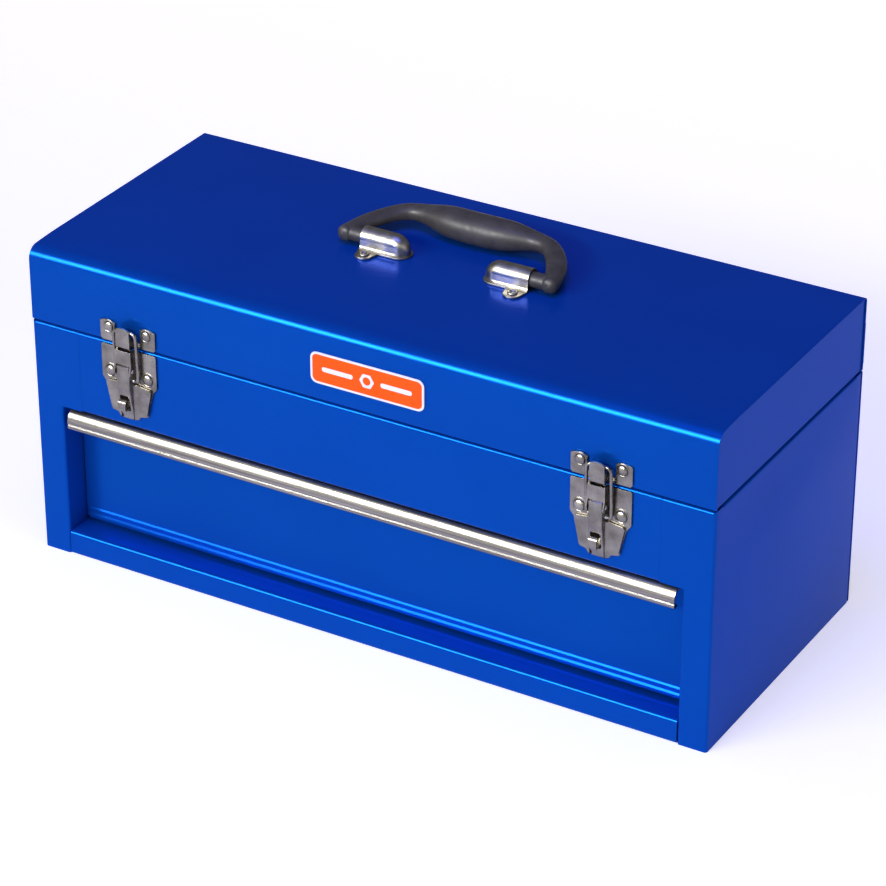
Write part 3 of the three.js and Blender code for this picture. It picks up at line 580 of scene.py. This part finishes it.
def side_wall(word, side):
    """Side panel with its front stile, the return beside the drawer, the rear flange and rim lip."""
    back = BACK - SHEET - GAP

    def sheet(name, line, zs):
        outline = [(x * side, y) for x, y in folded(line, BEND)]
        return prism(name, "z", outline, zs)

    around = [(SIDE - REAR_FLANGE, back), (SIDE, back), (SIDE, FRONT)]
    beside = [(OPENING_HALF, FRONT), (OPENING_HALF, FRONT + RECESS + 4)]
    wall = sheet(f"{word}_wall", around + beside, (0, OPENING_TOP))
    upper = sheet("upper", [*around, (STILE_SEAM, FRONT)], (OPENING_TOP, BODY_TOP))
    notch_zs = (BODY_TOP - RIM_DEPTH, BODY_TOP + 1)
    lip_ys = (FRONT + LIP + 2, BACK - LIP - 2)
    notch = block("notch", run(side, SIDE - 4, SIDE + 1), lip_ys, notch_zs)
    line = [(SIDE, BODY_TOP - RIM_DEPTH), (SIDE, BODY_TOP), (SIDE - LIP, BODY_TOP)]
    lip = [(x * side, z) for x, z in reversed(folded(line, 1.6, thickness=-SHEET))]
    rim = prism("rim", "y", lip, lip_ys)
    stile_xs = run(side, STILE_SEAM + 0.02, SIDE - BEND)
    stile_notch = block("notch", stile_xs, (FRONT - 1, FRONT + 2), notch_zs)
    stile_line = [(FRONT, BODY_TOP - RIM_DEPTH), (FRONT, BODY_TOP), (FRONT + LIP, BODY_TOP)]
    stile_rim = prism("stile_rim", "x", folded(stile_line, RIM_BEND), stile_xs)
    made = join(cut(join(wall, upper), notch, stile_notch), rim, stile_rim)
    finish_piece(made, "body", [f"{word}_side_panel"], BLUE, BODY_EDGE)


def front_panel():
    """Front panel above the drawer, with a tab behind each stile."""
    half = STILE_SEAM - SEAM
    line = [(FRONT + LIP, OPENING_TOP), (FRONT, OPENING_TOP), (FRONT, BODY_TOP), (FRONT + LIP, BODY_TOP)]
    panel = prism("front_panel", "x", folded(line, [BEND, RIM_BEND]), (-half, half))
    behind = FRONT + SHEET + GAP
    zs = (OPENING_TOP + 4, BODY_TOP - 4)
    tabs = []
    for _, side in SIDES:
        root_xs = run(side, half - 2, half)
        tab_xs = run(side, half - 2, half + PANEL_TAB)
        tabs.append(block("root", root_xs, (FRONT + 0.5, behind + SHEET), zs))
        tabs.append(block("tab", tab_xs, (behind, behind + SHEET), zs))
    finish_piece(join(panel, *tabs), "body", ["front_upper_panel"], BLUE, BODY_EDGE)


def lower_rail():
    """Rail under the drawer: a low front with a flat ledge behind it and a floor under the body."""
    half = RAIL[0][1]
    line = [(FRONT + RECESS, 0), (FRONT, 0), (FRONT, RAIL[2][1]), (RAIL[1][1], RAIL[2][1])]
    rail = prism("lower_rail", "x", folded(line, [BEND, 2.8], steps=8), (-half, half))
    finish_piece(rail, "body", ["front_lower_rail"], BLUE, BODY_EDGE)


# -------------------- drawer

BAND_RELIEF = 0.8       # how far the pressed band stands out of the drawer's face
BEAD_RELIEF = 1.7       # and the bead below it
BEAD_DROP = 1.9         # how far the bead reaches below the CAD drawer front
PULL_WALL = 1.5
PULL_REACH = 6.9        # depth of the pull's bulging front
PULL_HOOK = 4.6         # height of the hooked lip under the bulge
PULL_FLANGE = 12        # height of its flange at the back


def drawer_face():
    """Drawer front: a pressed band with a bead under it along the bottom, and soft side edges."""
    half = DRAWER[0][1] + 0.5
    low, high = DRAWER[2]
    face = DRAWER_FACE
    bottom = low - BEAD_DROP
    edge = 0.9

    def ring(x, share, back):
        """The section at x, with this share of the pressed relief, moved back."""
        band, bead = BAND_RELIEF * share, BEAD_RELIEF * share
        line = [(face + LIP, bottom), (face - bead, bottom), (face - bead, low + 0.6),
                (face - band, low + 2.05), (face - band, low + 5.0), (face, low + 6.25),
                (face, high), (face + LIP, high)]
        outline = folded(line, [0.3, 0.2, 0.2, 0.2, 0.2, BEND], steps=3)
        return [(x, y + back, z) for y, z in outline]

    # Each station holds x, the share of the relief there and how far the sheet has turned back.
    stations = [(half - 4.2, 1, 0), (half - 3.2, 0.85, 0), (half - 2.0, 0.3, 0), (half - 1.4, 0.08, 0)]
    for i in range(5):
        turn = QUARTER * i / 4
        stations.append((half - edge + edge * math.sin(turn), 0.02, edge * (1 - math.cos(turn))))
    rings = [ring(-x, p, b) for x, p, b in reversed(stations)] + [ring(x, p, b) for x, p, b in stations]
    finish_piece(loft("drawer_face", rings), "drawer", ["drawer_front"], BLUE, 0.2)


def pull_strip():
    """Full-width pull: a bulging front under a flat top, a drawn groove, and a lip hooked back."""
    half = PULL[0][1]
    nose, back = PULL[1]
    low, high = PULL[2]
    wall = PULL_WALL
    rise = high - low - PULL_HOOK
    middle_y, middle_z = nose + 5.5, high - rise

    def bulge(inset, steps, start, end):
        turns = [start + (end - start) * i / steps for i in range(steps + 1)]
        return [(middle_y + (PULL_REACH - inset) * math.cos(t), middle_z + (rise - inset) * math.sin(t))
                for t in turns]

    front = middle_y - PULL_REACH
    outer = [(back, high - PULL_FLANGE), (back, high), *bulge(0, 16, QUARTER, HALF_TURN)]
    groove = [(front + 0.1, middle_z - 0.7), (front + 0.75, middle_z - 1.0), (front + 0.75, middle_z - 1.5),
              (front + 0.15, middle_z - 1.8)]
    lip = arc(front + 2.6, low + 1.7, 2.5, HALF_TURN, 1.45 * HALF_TURN, 8)
    hook = [(front + 4.9, low + 0.1), (front + 4.6, low + 1.5), (front + 2.9, low + 1.6),
            (front + 1.9, low + 3.2)]
    inner = [*bulge(wall, 10, HALF_TURN, QUARTER), (back - wall, high - wall),
             (back - wall, high - PULL_FLANGE)]
    strip = prism("pull_strip", "x", outer + groove + lip + hook + inner, (-half, half))
    corners = []
    for _, side in SIDES:
        xs = run(side, half - 7, half + 1)
        corners.append(block("corner", xs, (nose + 9, back + 1), (low - 9, high + 1)))
    finish_piece(cut(strip, *corners), "drawer", ["drawer_pull"], ALUMINIUM, 0.2)


# -------------------- latches
# Latch pieces are drawn around the latch's middle: u across, v out from the front, z up.

PLATE = 1.2                     # thickness of the latch plates
LATCH_HALF = 22.0               # half the width of the keeper and the base plate
RIVET_U = 15.0
KEEPER_BOTTOM = 180.5
KEEPER_TOP = 196.0
EAR_INNER = 10.2                # where the keeper's riveted ears begin
CLAW_HALF = 5.6
CLAW_V = 8.0
CHEEK_V = 7.4
BASE_TOP = 177.3
BRIDGE_HALF = 6.5               # the base plate's channel over the lever's head
BRIDGE_TOP = 179.2
BRIDGE_BOTTOM = 168.8
BRIDGE_V = 8.6
STAPLE_V = 12.3
STAPLE_Z = (134.8, 142.8)
LEVER_PIN = (6.2, 164.0)        # v and z of the pin that the lever turns on
LINK_PIN = (4.0, 156.0)         # and of the pin that carries the wire loop
LEVER_BORE = 1.85
LINK_BORE = 1.55
BORE_REACH = 9                  # how far a bore's cutter reaches to each side
CHANNEL_HALF = 5.1              # half the width of the lever's channel
WALL_FOOT_V = 2.2               # where the channel's walls end
FLARE_RISE = 2.2                # height of the curve from a wing into a wall
LOOP_LENGTH = 36.5
LOOP_TOP = LINK_PIN[1] + LOOP_LENGTH
LOOP_BAR_V = 5.4
LOOP_HALF = 8.8
LOOP_FOOT = 6.7                 # where its turned-in feet end
LOOP_FOOT_BEND = 1.9
LOOP_CORNER = 3.5
LOOP_WIRE = 1.2                 # radius of its wire
PIN_EDGE = 0.35


class Latch:
    """Places latch pieces on the front, around one latch's middle."""

    def __init__(self, word):
        low, high = span(f"{word}_keeper")[0]
        self.word = word
        self.middle = (low + high) / 2
        self.keeper_rivet = self.height(f"{word}_keeper_left_rivet")
        self.base_rivet = self.height(f"{word}_latch_base_left_rivet")

    @staticmethod
    def height(node):
        """Where a node's middle is in z."""
        return sum(span(node)[2]) / 2

    def plate(self, name, outline, vs):
        """A plate parallel to the front, from an outline of u and z."""
        outline = [(self.middle + u, z) for u, z in outline]
        return prism(name, "y", outline, [FRONT - v for v in vs])

    def across(self, name, outline, us):
        """A prism across the latch, from an outline of v and z."""
        outline = [(FRONT - v, z) for v, z in outline]
        return prism(name, "x", outline, [self.middle + u for u in us])

    def turned(self, name, profile, u, z):
        """A turned piece that stands out from the front. The profile holds radius and v."""
        return lathe(name, [(r, -v) for r, v in profile], "y", (self.middle + u, FRONT, z), 32)

    def bore(self, pin, radius):
        """A cutter for a round hole across the latch."""
        v, z = pin
        profile = [(0, -BORE_REACH), (radius, -BORE_REACH), (radius, BORE_REACH), (0, BORE_REACH)]
        return lathe("bore", profile, "x", (self.middle, FRONT - v, z), 24)

    def pin(self, name, pin, radius, half, body, node):
        """A round pin across the latch with slightly domed ends."""
        v, z = pin
        profile = [(0, -half), (radius * 0.7, -half), (radius, -half + PIN_EDGE), (radius, half - PIN_EDGE),
                   (radius * 0.7, half), (0, half)]
        made = lathe(name, profile, "x", (self.middle, FRONT - v, z), 24)
        finish_piece(made, body, [node], ZINC, 0)


def embossed_ring(latch, u, z, radius):
    """The raised ring that is pressed around a rivet. Its profile holds radius and v."""
    top = GAP + PLATE
    profile = [(0, GAP + 0.2), (radius + 1.0, GAP + 0.2), (radius + 1.0, top), (radius + 0.55, top + 0.42),
               (radius + 0.1, top + 0.5), (radius - 0.4, top + 0.1), (0, top + 0.1)]
    return latch.turned("ring", profile, u, z)


def keeper(latch):
    """Keeper on the lid: two riveted ears with arched tops, and a raised claw between them."""
    word = latch.word
    plate_v = (GAP, GAP + PLATE)
    bottom = KEEPER_BOTTOM
    parts = []
    for _, side in SIDES:
        near, far = EAR_INNER, LATCH_HALF
        middle, half = (near + far) / 2, (far - near) / 2
        arch = [(middle + half * t, KEEPER_TOP - 1.5 * t * t) for t in (1, 0.6, 0.2, -0.2, -0.6, -1)]
        ear = [(near, bottom), (far - 1.2, bottom), (far, bottom + 1.6), *arch]
        parts.append(latch.plate("ear", [(u * side, z) for u, z in ear], plate_v))
        parts.append(embossed_ring(latch, RIVET_U * side, latch.keeper_rivet, 4.0))
        cheek = [(GAP + 0.6, bottom), (CHEEK_V, bottom), (CHEEK_V, LOOP_TOP - 2), (GAP + 0.6, LOOP_TOP - 3.5)]
        parts.append(latch.across("cheek", cheek, run(side, CLAW_HALF - 1.1, CLAW_HALF)))
    half = LATCH_HALF - 1.2
    strip = [(-half, bottom), (half, bottom), (half, bottom + 4), (-half, bottom + 4)]
    parts.append(latch.plate("strip", strip, plate_v))
    made = join(keeper_claw(latch), *parts)
    made.name = f"{word}_keeper_plate"
    finish_piece(made, "lid", [f"{word}_keeper"], NICKEL, 0.5, 3)


def keeper_claw(latch):
    """The keeper's claw: a strip folded out and up, its corners cut away to an arched top."""
    line = [(GAP, KEEPER_BOTTOM), (CLAW_V, KEEPER_BOTTOM), (CLAW_V, KEEPER_TOP)]
    claw = latch.across("claw", folded(line, 1.6, thickness=-PLATE), (-CLAW_HALF, CLAW_HALF))
    arch = [(CLAW_HALF * t, KEEPER_TOP - 0.1 - 1.3 * t * t) for t in (-0.82, -0.5, -0.2, 0.2, 0.5, 0.82)]
    past, above, low, shoulder = CLAW_HALF + 1.9, KEEPER_TOP + 4, KEEPER_BOTTOM + 4.5, KEEPER_TOP - 2.4
    trim = [(past, above), (-past, above), (-past, low), (-CLAW_HALF, low), (-CLAW_HALF + 0.3, shoulder),
            *arch, (CLAW_HALF - 0.3, shoulder), (CLAW_HALF, low), (past, low)]
    return cut(claw, latch.plate("trim", trim, (5, 10)))


def base_plate(latch):
    """Base plate on the body: rings around the rivets, the lever's channel and the padlock staple."""
    word = latch.word
    right = [(LATCH_HALF, BASE_TOP), (LATCH_HALF, 152.5), (18.7, 148.3), (14.6, 132), (14.2, 128.6)]
    radii = [1.2, 3.5, 2.5, 2, 1.2]
    outline = rounded_loop(mirrored(right), radii + radii[::-1], 4)
    plate = latch.plate(f"{word}_latch_plate", outline, (GAP, GAP + PLATE))
    window = latch.plate("window", [(-5.5, 157), (5.5, 157), (5.5, 171), (-5.5, 171)], (-3, 3))
    plate = cut(plate, window)
    v, z = LEVER_PIN
    eye = [(2 * v - a, b) for a, b in arc(v, z, 4, HALF_TURN, 1.6 * HALF_TURN, 8)]
    ear = [(GAP, BASE_TOP), (4, BRIDGE_TOP), (BRIDGE_V, BRIDGE_TOP), (BRIDGE_V, BRIDGE_BOTTOM), *eye,
           (GAP + 0.6, z - 6), (GAP, z - 6)]
    parts = [latch.across("ear", ear, run(side, BRIDGE_HALF - 1, BRIDGE_HALF)) for _, side in SIDES]
    bridge = [(-BRIDGE_HALF, BRIDGE_BOTTOM), (BRIDGE_HALF, BRIDGE_BOTTOM), (BRIDGE_HALF, BRIDGE_TOP),
              (-BRIDGE_HALF, BRIDGE_TOP)]
    parts.append(latch.plate("bridge", bridge, (7.4, BRIDGE_V)))
    parts += [embossed_ring(latch, RIVET_U * side, latch.base_rivet, 4.5) for _, side in SIDES]
    low, high = STAPLE_Z
    staple = [(GAP + 0.6, low), (STAPLE_V, low), (STAPLE_V, high), (GAP + 0.6, high)]
    parts.append(latch.across("staple", folded(staple, 2.2, thickness=-PLATE), (-3, 3)))
    made = cut(join(plate, *parts), latch.bore(LEVER_PIN, LEVER_BORE))
    finish_piece(made, "body", [f"{word}_latch_base"], NICKEL, 0.5, 3)


def between(z, stops, soft=True):
    """The value at z, from (z, value) stops that fall in z, eased from stop to stop if soft."""
    for (z0, a), (z1, b) in zip(stops, stops[1:]):
        if z >= z1:
            t = min(max((z0 - z) / (z0 - z1), 0), 1)
            return a + (b - a) * (t * t * (3 - 2 * t) if soft else t)
    return stops[-1][1]


def lever_section(z, wall):
    """Half of the lever's section at one height, from its wing to the middle, moved in by a wall.

    The crest is how far the channel stands out, and the wing how far the section reaches sideways.
    """
    crest = between(z, [(169, 7.6), (167.6, 9.5), (152, 9.5), (143, 8.3), (133, 6.3), (126, 4.2)])
    wing = between(z, [(153.2, 5.1), (151.8, 9), (150.9, 16.6), (149.6, 18.2), (130.8, 14.3), (129.5, 13.4),
                       (128.6, 9), (126, 7.4)], False)
    root = WALL_FOOT_V + SHEET
    face = crest - wall
    half = CHANNEL_HALF - wall
    flare = min(max(wing - CHANNEL_HALF, 0.02), 3.4)
    curve = min(flare, FLARE_RISE)
    low = (root if wing > CHANNEL_HALF + 0.1 else WALL_FOOT_V) - wall
    low = min(low, face - 0.4)
    points = [(max(wing, half + 0.02), low), (half + flare, low)]
    for i in range(1, 6):
        turn = QUARTER * i / 5
        points.append((half + flare * (1 - math.sin(turn)), low + curve * (1 - math.cos(turn))))
    corner = 1.1
    points.append((half, face - corner))
    for i in range(1, 5):
        turn = QUARTER * i / 4
        points.append((half - corner * (1 - math.cos(turn)), face - corner * (1 - math.sin(turn))))
    points.append((0, face + 0.15))
    return points


def lever_plate(latch):
    """Lever: a pressed channel over the pins, whose walls flare out into wings over the base plate."""
    word = latch.word
    heights = [168.9, 168.4, 167.8, 167, 164, 160, 157, 154, 153.2, 152.5, 151.8, 151.4, 150.9, 150.3, 149.6,
               148, 146, 144, 141, 138, 135, 132, 130.8, 130.2, 129.5, 129.1, 128.6, 127.5, 126.7, 126]
    rings = []
    for height in heights:
        outer = lever_section(height, 0)
        inner = lever_section(height, SHEET)
        ring = mirrored(outer) + [(-u, w) for u, w in inner] + inner[::-1]
        rings.append([(latch.middle + u, FRONT - w, height) for u, w in ring])
    made = loft(f"{word}_lever_plate", rings)
    slot = rounded_loop([(-3.7, 133), (3.7, 133), (3.7, 145.5), (-3.7, 145.5)], 1.6, 5)
    slot = latch.plate("slot", slot, (-2, 14))
    made = cut(made, slot, latch.bore(LEVER_PIN, LEVER_BORE), latch.bore(LINK_PIN, LINK_BORE))
    finish_piece(made, f"{word}_lever", [f"{word}_lever"], NICKEL, 0.35, 3)


def draw_loop(latch):
    """Wire loop: two legs and a bar, its feet turned in to the link pin."""
    word = latch.word
    v, z = LINK_PIN
    lean = math.asin((LOOP_BAR_V - v) / LOOP_LENGTH)
    bend, corner = LOOP_FOOT_BEND, LOOP_CORNER
    line = mirrored([(LOOP_FOOT, 0), *arc(LOOP_HALF - bend, bend, bend, -QUARTER, 0, 6),
                     *arc(LOOP_HALF - corner, LOOP_LENGTH - corner, corner, 0, QUARTER, 8)])
    path = []
    for (u0, s0), (u1, s1) in zip(line, line[1:]):
        steps = max(1, round(math.hypot(u1 - u0, s1 - s0) / 2.5))
        path += [(u0 + (u1 - u0) * i / steps, s0 + (s1 - s0) * i / steps) for i in range(steps)]
    path.append(line[-1])
    placed = [Vector((latch.middle + u, FRONT - v - s * math.sin(lean), z + s * math.cos(lean)))
              for u, s in path]
    made = tube(f"{word}_wire_loop", placed, LOOP_WIRE)
    finish_piece(made, f"{word}_loop", [f"{word}_draw_loop"], NICKEL, 0.15)


def latch_rivets(latch):
    """Domed rivets with a flat rim, two on each half of the latch."""
    sets = [("keeper", latch.keeper_rivet, 3.6, 1.9, "lid"),
            ("latch_base", latch.base_rivet, 4.0, 2.2, "body")]
    base = GAP + PLATE + 0.1
    for half, z, radius, height, body in sets:
        dome = [(radius * math.cos(t), base + 0.4 + (height - 0.4) * math.sin(t))
                for t in (QUARTER * i / 7 for i in range(7))]
        profile = [(0, base), (radius - 0.15, base), (radius, base + 0.15), *dome, (0, base + height)]
        for place, side in SIDES:
            node = f"{latch.word}_{half}_{place}_rivet"
            rivet = latch.turned(f"{node}_head", profile, RIVET_U * side, z)
            finish_piece(rivet, body, [node], NICKEL, 0)


# -------------------- handle

# Bracket and grip pieces are drawn around the handle's middle on the lid.

LEFT_BRACKET = span("left_handle_bracket")
RIGHT_BRACKET = span("right_handle_bracket")
HANDLE = Vector(((LEFT_BRACKET[0][0] + RIGHT_BRACKET[0][1]) / 2, sum(LEFT_BRACKET[1]) / 2, TOP))
PIVOT_RISE = 7.5                # height of the grip's pivot over the lid
HOOD_INNER = 29.5               # the hood's closed end, from the handle's middle
HOOD_OUTER = RIGHT_BRACKET[0][1] - HANDLE.x
HOOD_FOOT = 8.0                 # half its width at the foot
HOOD_ROUND = 7.3                # radius of its crown
HOOD_END_ROUND = 12.0           # length over which it closes
HOOD_SHEET = 1.1
FLANGE_REACH = 1.1              # how far the flange stands out beyond the hood's foot
TAB_ROUND = 6.5
TAB_FLARE = 1.6
STUB_RADIUS = 5.4
STUB_EDGE = 0.5
GRIP_TIP = 3.4                  # length over which the grip's arms close at their ends
GRIP_SQUARENESS = 0.88          # 1 would make the grip's section an ellipse


def hood_point(x, t):
    """A point of the hood's outside: t runs from the front foot (0) over the crown to the rear one (1)."""
    reach = min(max((HOOD_INNER + HOOD_END_ROUND - x) / HOOD_END_ROUND, 0), 1)
    scale = math.sqrt(max(1 - reach ** 2, 0))
    flat, spread = 0.34, 0.15   # share of t on each flank, and angle where it meets the crown
    if t < flat or t > 1 - flat:
        s = (t if t < 0.5 else 1 - t) / flat
        y = HOOD_FOOT + (HOOD_ROUND * math.cos(spread) - HOOD_FOOT) * s
        z = GAP + (PIVOT_RISE + HOOD_ROUND * math.sin(spread) - GAP) * s
        y = -y if t < 0.5 else y
    else:
        turn = HALF_TURN - spread - (HALF_TURN - 2 * spread) * (t - flat) / (1 - 2 * flat)
        y = HOOD_ROUND * math.cos(turn)
        z = PIVOT_RISE + HOOD_ROUND * math.sin(turn)
    return y * scale, GAP + (z - GAP) * (0.25 + 0.75 * scale)


def facet(x, z):
    """How far the pressed facet on the hood's flanks is sunk."""
    def inside(value, low, high, blend):
        return min(max((value - low) / blend, 0), 1) * min(max((high - value) / blend, 0), 1)

    return 0.5 * inside(x, 36, 90, 2.0) * inside(z, 2.4, 9.0, 1.0)


def bracket(word, side):
    """Stamped bracket: a hood with sunken flanks and a closed round end."""
    columns, rows = 44, 48
    lengths = [HOOD_OUTER - (HOOD_OUTER - HOOD_INNER) * i / columns for i in range(columns)]
    lengths += [HOOD_INNER + d for d in (0.5, 0.2, 0.02)]
    points, faces = [], []
    for x in lengths:
        for k in range(rows + 1):
            y, z = hood_point(x, k / rows)
            y -= math.copysign(facet(x, z), y)
            points.append((HANDLE.x + x * side, HANDLE.y + y * side, TOP + z))
    width = rows + 1
    for a in range(0, (len(lengths) - 1) * width, width):
        b = a + width
        faces += [(a + k, a + k + 1, b + k + 1, b + k) for k in range(rows)]
    hood = mesh_object(f"{word}_bracket_hood", points, faces)
    shell = hood.modifiers.new("shell", "SOLIDIFY")
    shell.thickness = HOOD_SHEET * MM
    shell.offset = -1
    finish_piece(hood, "lid", [f"{word}_handle_bracket"], CHROME)


def bracket_foot(word, side):
    """Flange round the hood's foot with a tab in front and behind, and the two hollow rivets."""
    lift = (TOP + GAP, TOP + GAP + 1.2)

    def flat(name, points):
        return prism(name, "z", [(HANDLE.x + x * side, HANDLE.y + y * side) for x, y in points], lift)

    half = HOOD_FOOT + FLANGE_REACH
    nose = arc(HOOD_INNER + half - FLANGE_REACH, 0, half, QUARTER, 1.5 * HALF_TURN, 16)
    foot = flat(f"{word}_bracket_foot", [(HOOD_OUTER, half), *nose, (HOOD_OUTER, -half)])
    base = TOP + 2 * GAP + 1.0
    tabs = []
    for place in ("front", "rear"):
        node = f"{word}_bracket_{place}_rivet"
        (x0, x1), (y0, y1), _ = span(node)
        middle = ((x0 + x1) / 2 - HANDLE.x) * side
        centre = ((y0 + y1) / 2 - HANDLE.y) * side
        way = math.copysign(1, centre)
        start = 0 if centre > 0 else HALF_TURN
        outline = arc(middle, centre, TAB_ROUND, start, start + HALF_TURN, 16)
        outline += [(outline[-1][0] - TAB_FLARE * way, half * 0.9 * way),
                    (outline[0][0] + TAB_FLARE * way, half * 0.9 * way)]
        tabs.append(flat("tab", outline))
        profile = [(0, base), (3.4, base), (3.6, base + 0.3), (3.3, base + 0.9), (2.7, base + 1.2),
                   (2.1, base + 0.9), (1.8, base + 0.3), (0, base + 0.2)]
        rivet = lathe(f"{node}_head", profile, "z", ((x0 + x1) / 2, (y0 + y1) / 2, 0), 28)
        finish_piece(rivet, "lid", [node], CHROME, 0)
    finish_piece(join(foot, *tabs), "lid", [], CHROME, 0.35, 3)


def grip():
    """Moulded grip: flat arms that end square past the pivot, a swelling crossbar and two round stubs."""
    half = [(79.0, -6.4), (79.0, -6.1), (78.9, -5), (78.6, -2.5), (78.0, 1), (76.6, 6), (72.8, 17),
            (67.2, 27), (60.5, 35.5), (53, 41), (43, 43), (30, 42.6), (15, 41)]
    route = half + [(0, 40.6)] + [(-x, w) for x, w in reversed(half)]
    path = smooth_path([(x, w, 3.6 * max(w, 0) / 39.5) for x, w in route], 6)
    tip = path[0].y
    sides = 32

    def halves(x, w):
        """Half the grip's width and half its depth at a point of its route."""
        swell = math.exp(-((abs(x) / 37) ** 4)) if w > 30 else 0
        arm = max(0, 1 - ((w - 20) / 20) ** 2) if abs(x) > 50 else 0
        wide = 5.5 + 1.1 * arm + 0.9 * min(max(w, 0) / 40, 1) + 5.8 * swell
        deep = 5.5 - 0.9 * arm + 5.0 * swell
        end = min((w - tip) / GRIP_TIP, 1)
        return [size * math.sqrt(max(1 - (1 - end) ** 2, 0.02)) for size in (wide, deep)]

    rings = []
    for i, point in enumerate(path):
        ahead = heading(path, i)
        side = Vector((0, 0, 1)).cross(ahead).normalized()
        up = ahead.cross(side)
        wide, deep = halves(point.x, point.y)
        ring = []
        for k in range(sides):
            turn = 2 * math.pi * k / sides
            c, s = (math.copysign(abs(v) ** GRIP_SQUARENESS, v) for v in (math.cos(turn), math.sin(turn)))
            ring.append(HANDLE + Vector((0, 0, PIVOT_RISE)) + point + side * wide * c + up * deep * s)
        rings.append(ring)
    made = loft("moulded_grip", rings)
    axle = (HANDLE.x, HANDLE.y, TOP + PIVOT_RISE)
    stubs = []
    for _, side in SIDES:
        start, end = run(side, 40, 77)
        rim = STUB_RADIUS - STUB_EDGE
        profile = [(0, start), (rim, start), (STUB_RADIUS, start + STUB_EDGE), (STUB_RADIUS, end - STUB_EDGE),
                   (rim, end), (0, end)]
        stubs.append(lathe("stub", profile, "x", axle, 32))
    finish_piece(join(made, *stubs), "handle", ["handle_grip"], PLASTIC, 0.5)


# -------------------- floor, light and camera

AIM = (0, 0, 0.1)
FLOOR_REACH = 6.0
FLOOR_GLOW = (0.5, 1.15)        # how strongly the floor glows at these two places in y
FLOOR_GLOW_Y = (0.2, 3.0)
CAMERA_AZIMUTH = math.radians(30.287)
CAMERA_ELEVATION = math.radians(29.143)
CAMERA_AIM = (0.01455, -0.0238, 0.11869)
CAMERA_DISTANCE = 2.47356
FOCAL_LENGTH = 149.157
SENSOR_WIDTH = 36


def floor():
    """Pale floor that glows more and more towards the back, so that it is evenly white in view."""
    slab = bpy.data.meshes.new("floor")
    reach = FLOOR_REACH
    slab.from_pydata([(-reach, -reach, 0), (reach, -reach, 0), (reach, reach, 0), (-reach, reach, 0)],
                     [], [(0, 1, 2, 3)])
    made = bpy.data.objects.new("floor", slab)
    bpy.context.scene.collection.objects.link(made)
    pale = Nodes("pale_floor", (0.9, 0.9, 0.9), 0.9)
    pale.into("Base Color", pale.mix(pale.noise(2.0, 2.0), (0.89, 0.89, 0.89), (0.92, 0.92, 0.92)))
    pale.set(pale.shader, {"Emission Color": (1, 0.95, 0.86, 1), "Specular IOR Level": 0.0})
    depth = pale.add("ShaderNodeSeparateXYZ", {"Vector": pale.place}).outputs["Y"]
    pale.into("Emission Strength", pale.remap(depth, *FLOOR_GLOW, *FLOOR_GLOW_Y))
    slab.materials.append(pale.material)


def softbox(name, place, size, power, colour=(1, 1, 1)):
    """A rectangular light that faces the object. Its place and size are in metres."""
    light = bpy.data.lights.new(name, "AREA")
    light.shape = "RECTANGLE"
    light.size, light.size_y = size
    light.energy = power
    light.color = colour
    made = bpy.data.objects.new(name, light)
    made.location = place
    made.rotation_euler = (Vector(AIM) - Vector(place)).to_track_quat("-Z", "Y").to_euler()
    bpy.context.scene.collection.objects.link(made)
    return made


def world(strength):
    """White room light, the same from all sides."""
    room = bpy.data.worlds.new("room")
    room.use_nodes = True
    background = room.node_tree.nodes["Background"]
    background.inputs["Color"].default_value = (1, 1, 1, 1)
    background.inputs["Strength"].default_value = strength
    bpy.context.scene.world = room


def camera():
    """Camera with a long lens, in front of the object, to its right and above it."""
    azimuth, elevation = CAMERA_AZIMUTH, CAMERA_ELEVATION
    away = Vector((math.sin(azimuth) * math.cos(elevation), -math.cos(azimuth) * math.cos(elevation),
                   math.sin(elevation)))
    lens = bpy.data.cameras.new("camera")
    lens.lens = FOCAL_LENGTH
    lens.sensor_width = SENSOR_WIDTH
    made = bpy.data.objects.new("camera", lens)
    made.location = Vector(CAMERA_AIM) + away * CAMERA_DISTANCE
    made.rotation_euler = away.to_track_quat("Z", "Y").to_euler()
    bpy.context.scene.collection.objects.link(made)
    bpy.context.scene.camera = made


# -------------------- the whole

camera()
floor()
world(0.18)
softbox("key", (-0.95, -2.6, 1.6), (2.4, 0.3), 51)
softbox("fill", (-0.2, -2.9, 1.7), (3.0, 1.6), 13)
softbox("side", (2.65, -0.96, 1.13), (1.6, 1.2), 10)
softbox("top", (0.1, -0.6, 2.8), (1.6, 1.2), 48, (0.12, 0.16, 1.0))
# The glint only shows in reflections: it draws the highlights on edges and plated parts.
glint = softbox("glint", (-0.95, -2.62, 1.61), (2.4, 1.2), 300)
glint.visible_diffuse = False
bpy.context.scene.view_settings.view_transform = "Standard"

lid_cover()
badge_plate()
front_panel()
lower_rail()
drawer_face()
pull_strip()
grip()
for side_word, side_sign in SIDES:
    side_wall(side_word, side_sign)
    lid_end(side_word, side_sign)
    bracket(side_word, side_sign)
    bracket_foot(side_word, side_sign)
    one = Latch(side_word)
    keeper(one)
    base_plate(one)
    lever_plate(one)
    draw_loop(one)
    latch_rivets(one)
    one.pin(f"{side_word}_lever_axle", LEVER_PIN, 1.5, 6.8, "body", f"{side_word}_lever_pin")
    one.pin(f"{side_word}_link_axle", LINK_PIN, 1.2, 6.4, f"{side_word}_link", f"{side_word}_link_pin")
    keep(f"{side_word}_outer_slide", ZINC)
    keep(f"{side_word}_inner_slide", ZINC)
    keep(f"{side_word}_handle_pivot_pin", ZINC)
keep("hinge_pin", ZINC)
for name in ("back_panel", "bottom_pan", "divider_shelf", "drawer_tray", "hinge_body_leaf", "hinge_lid_leaf"):
    keep(name, BLUE)
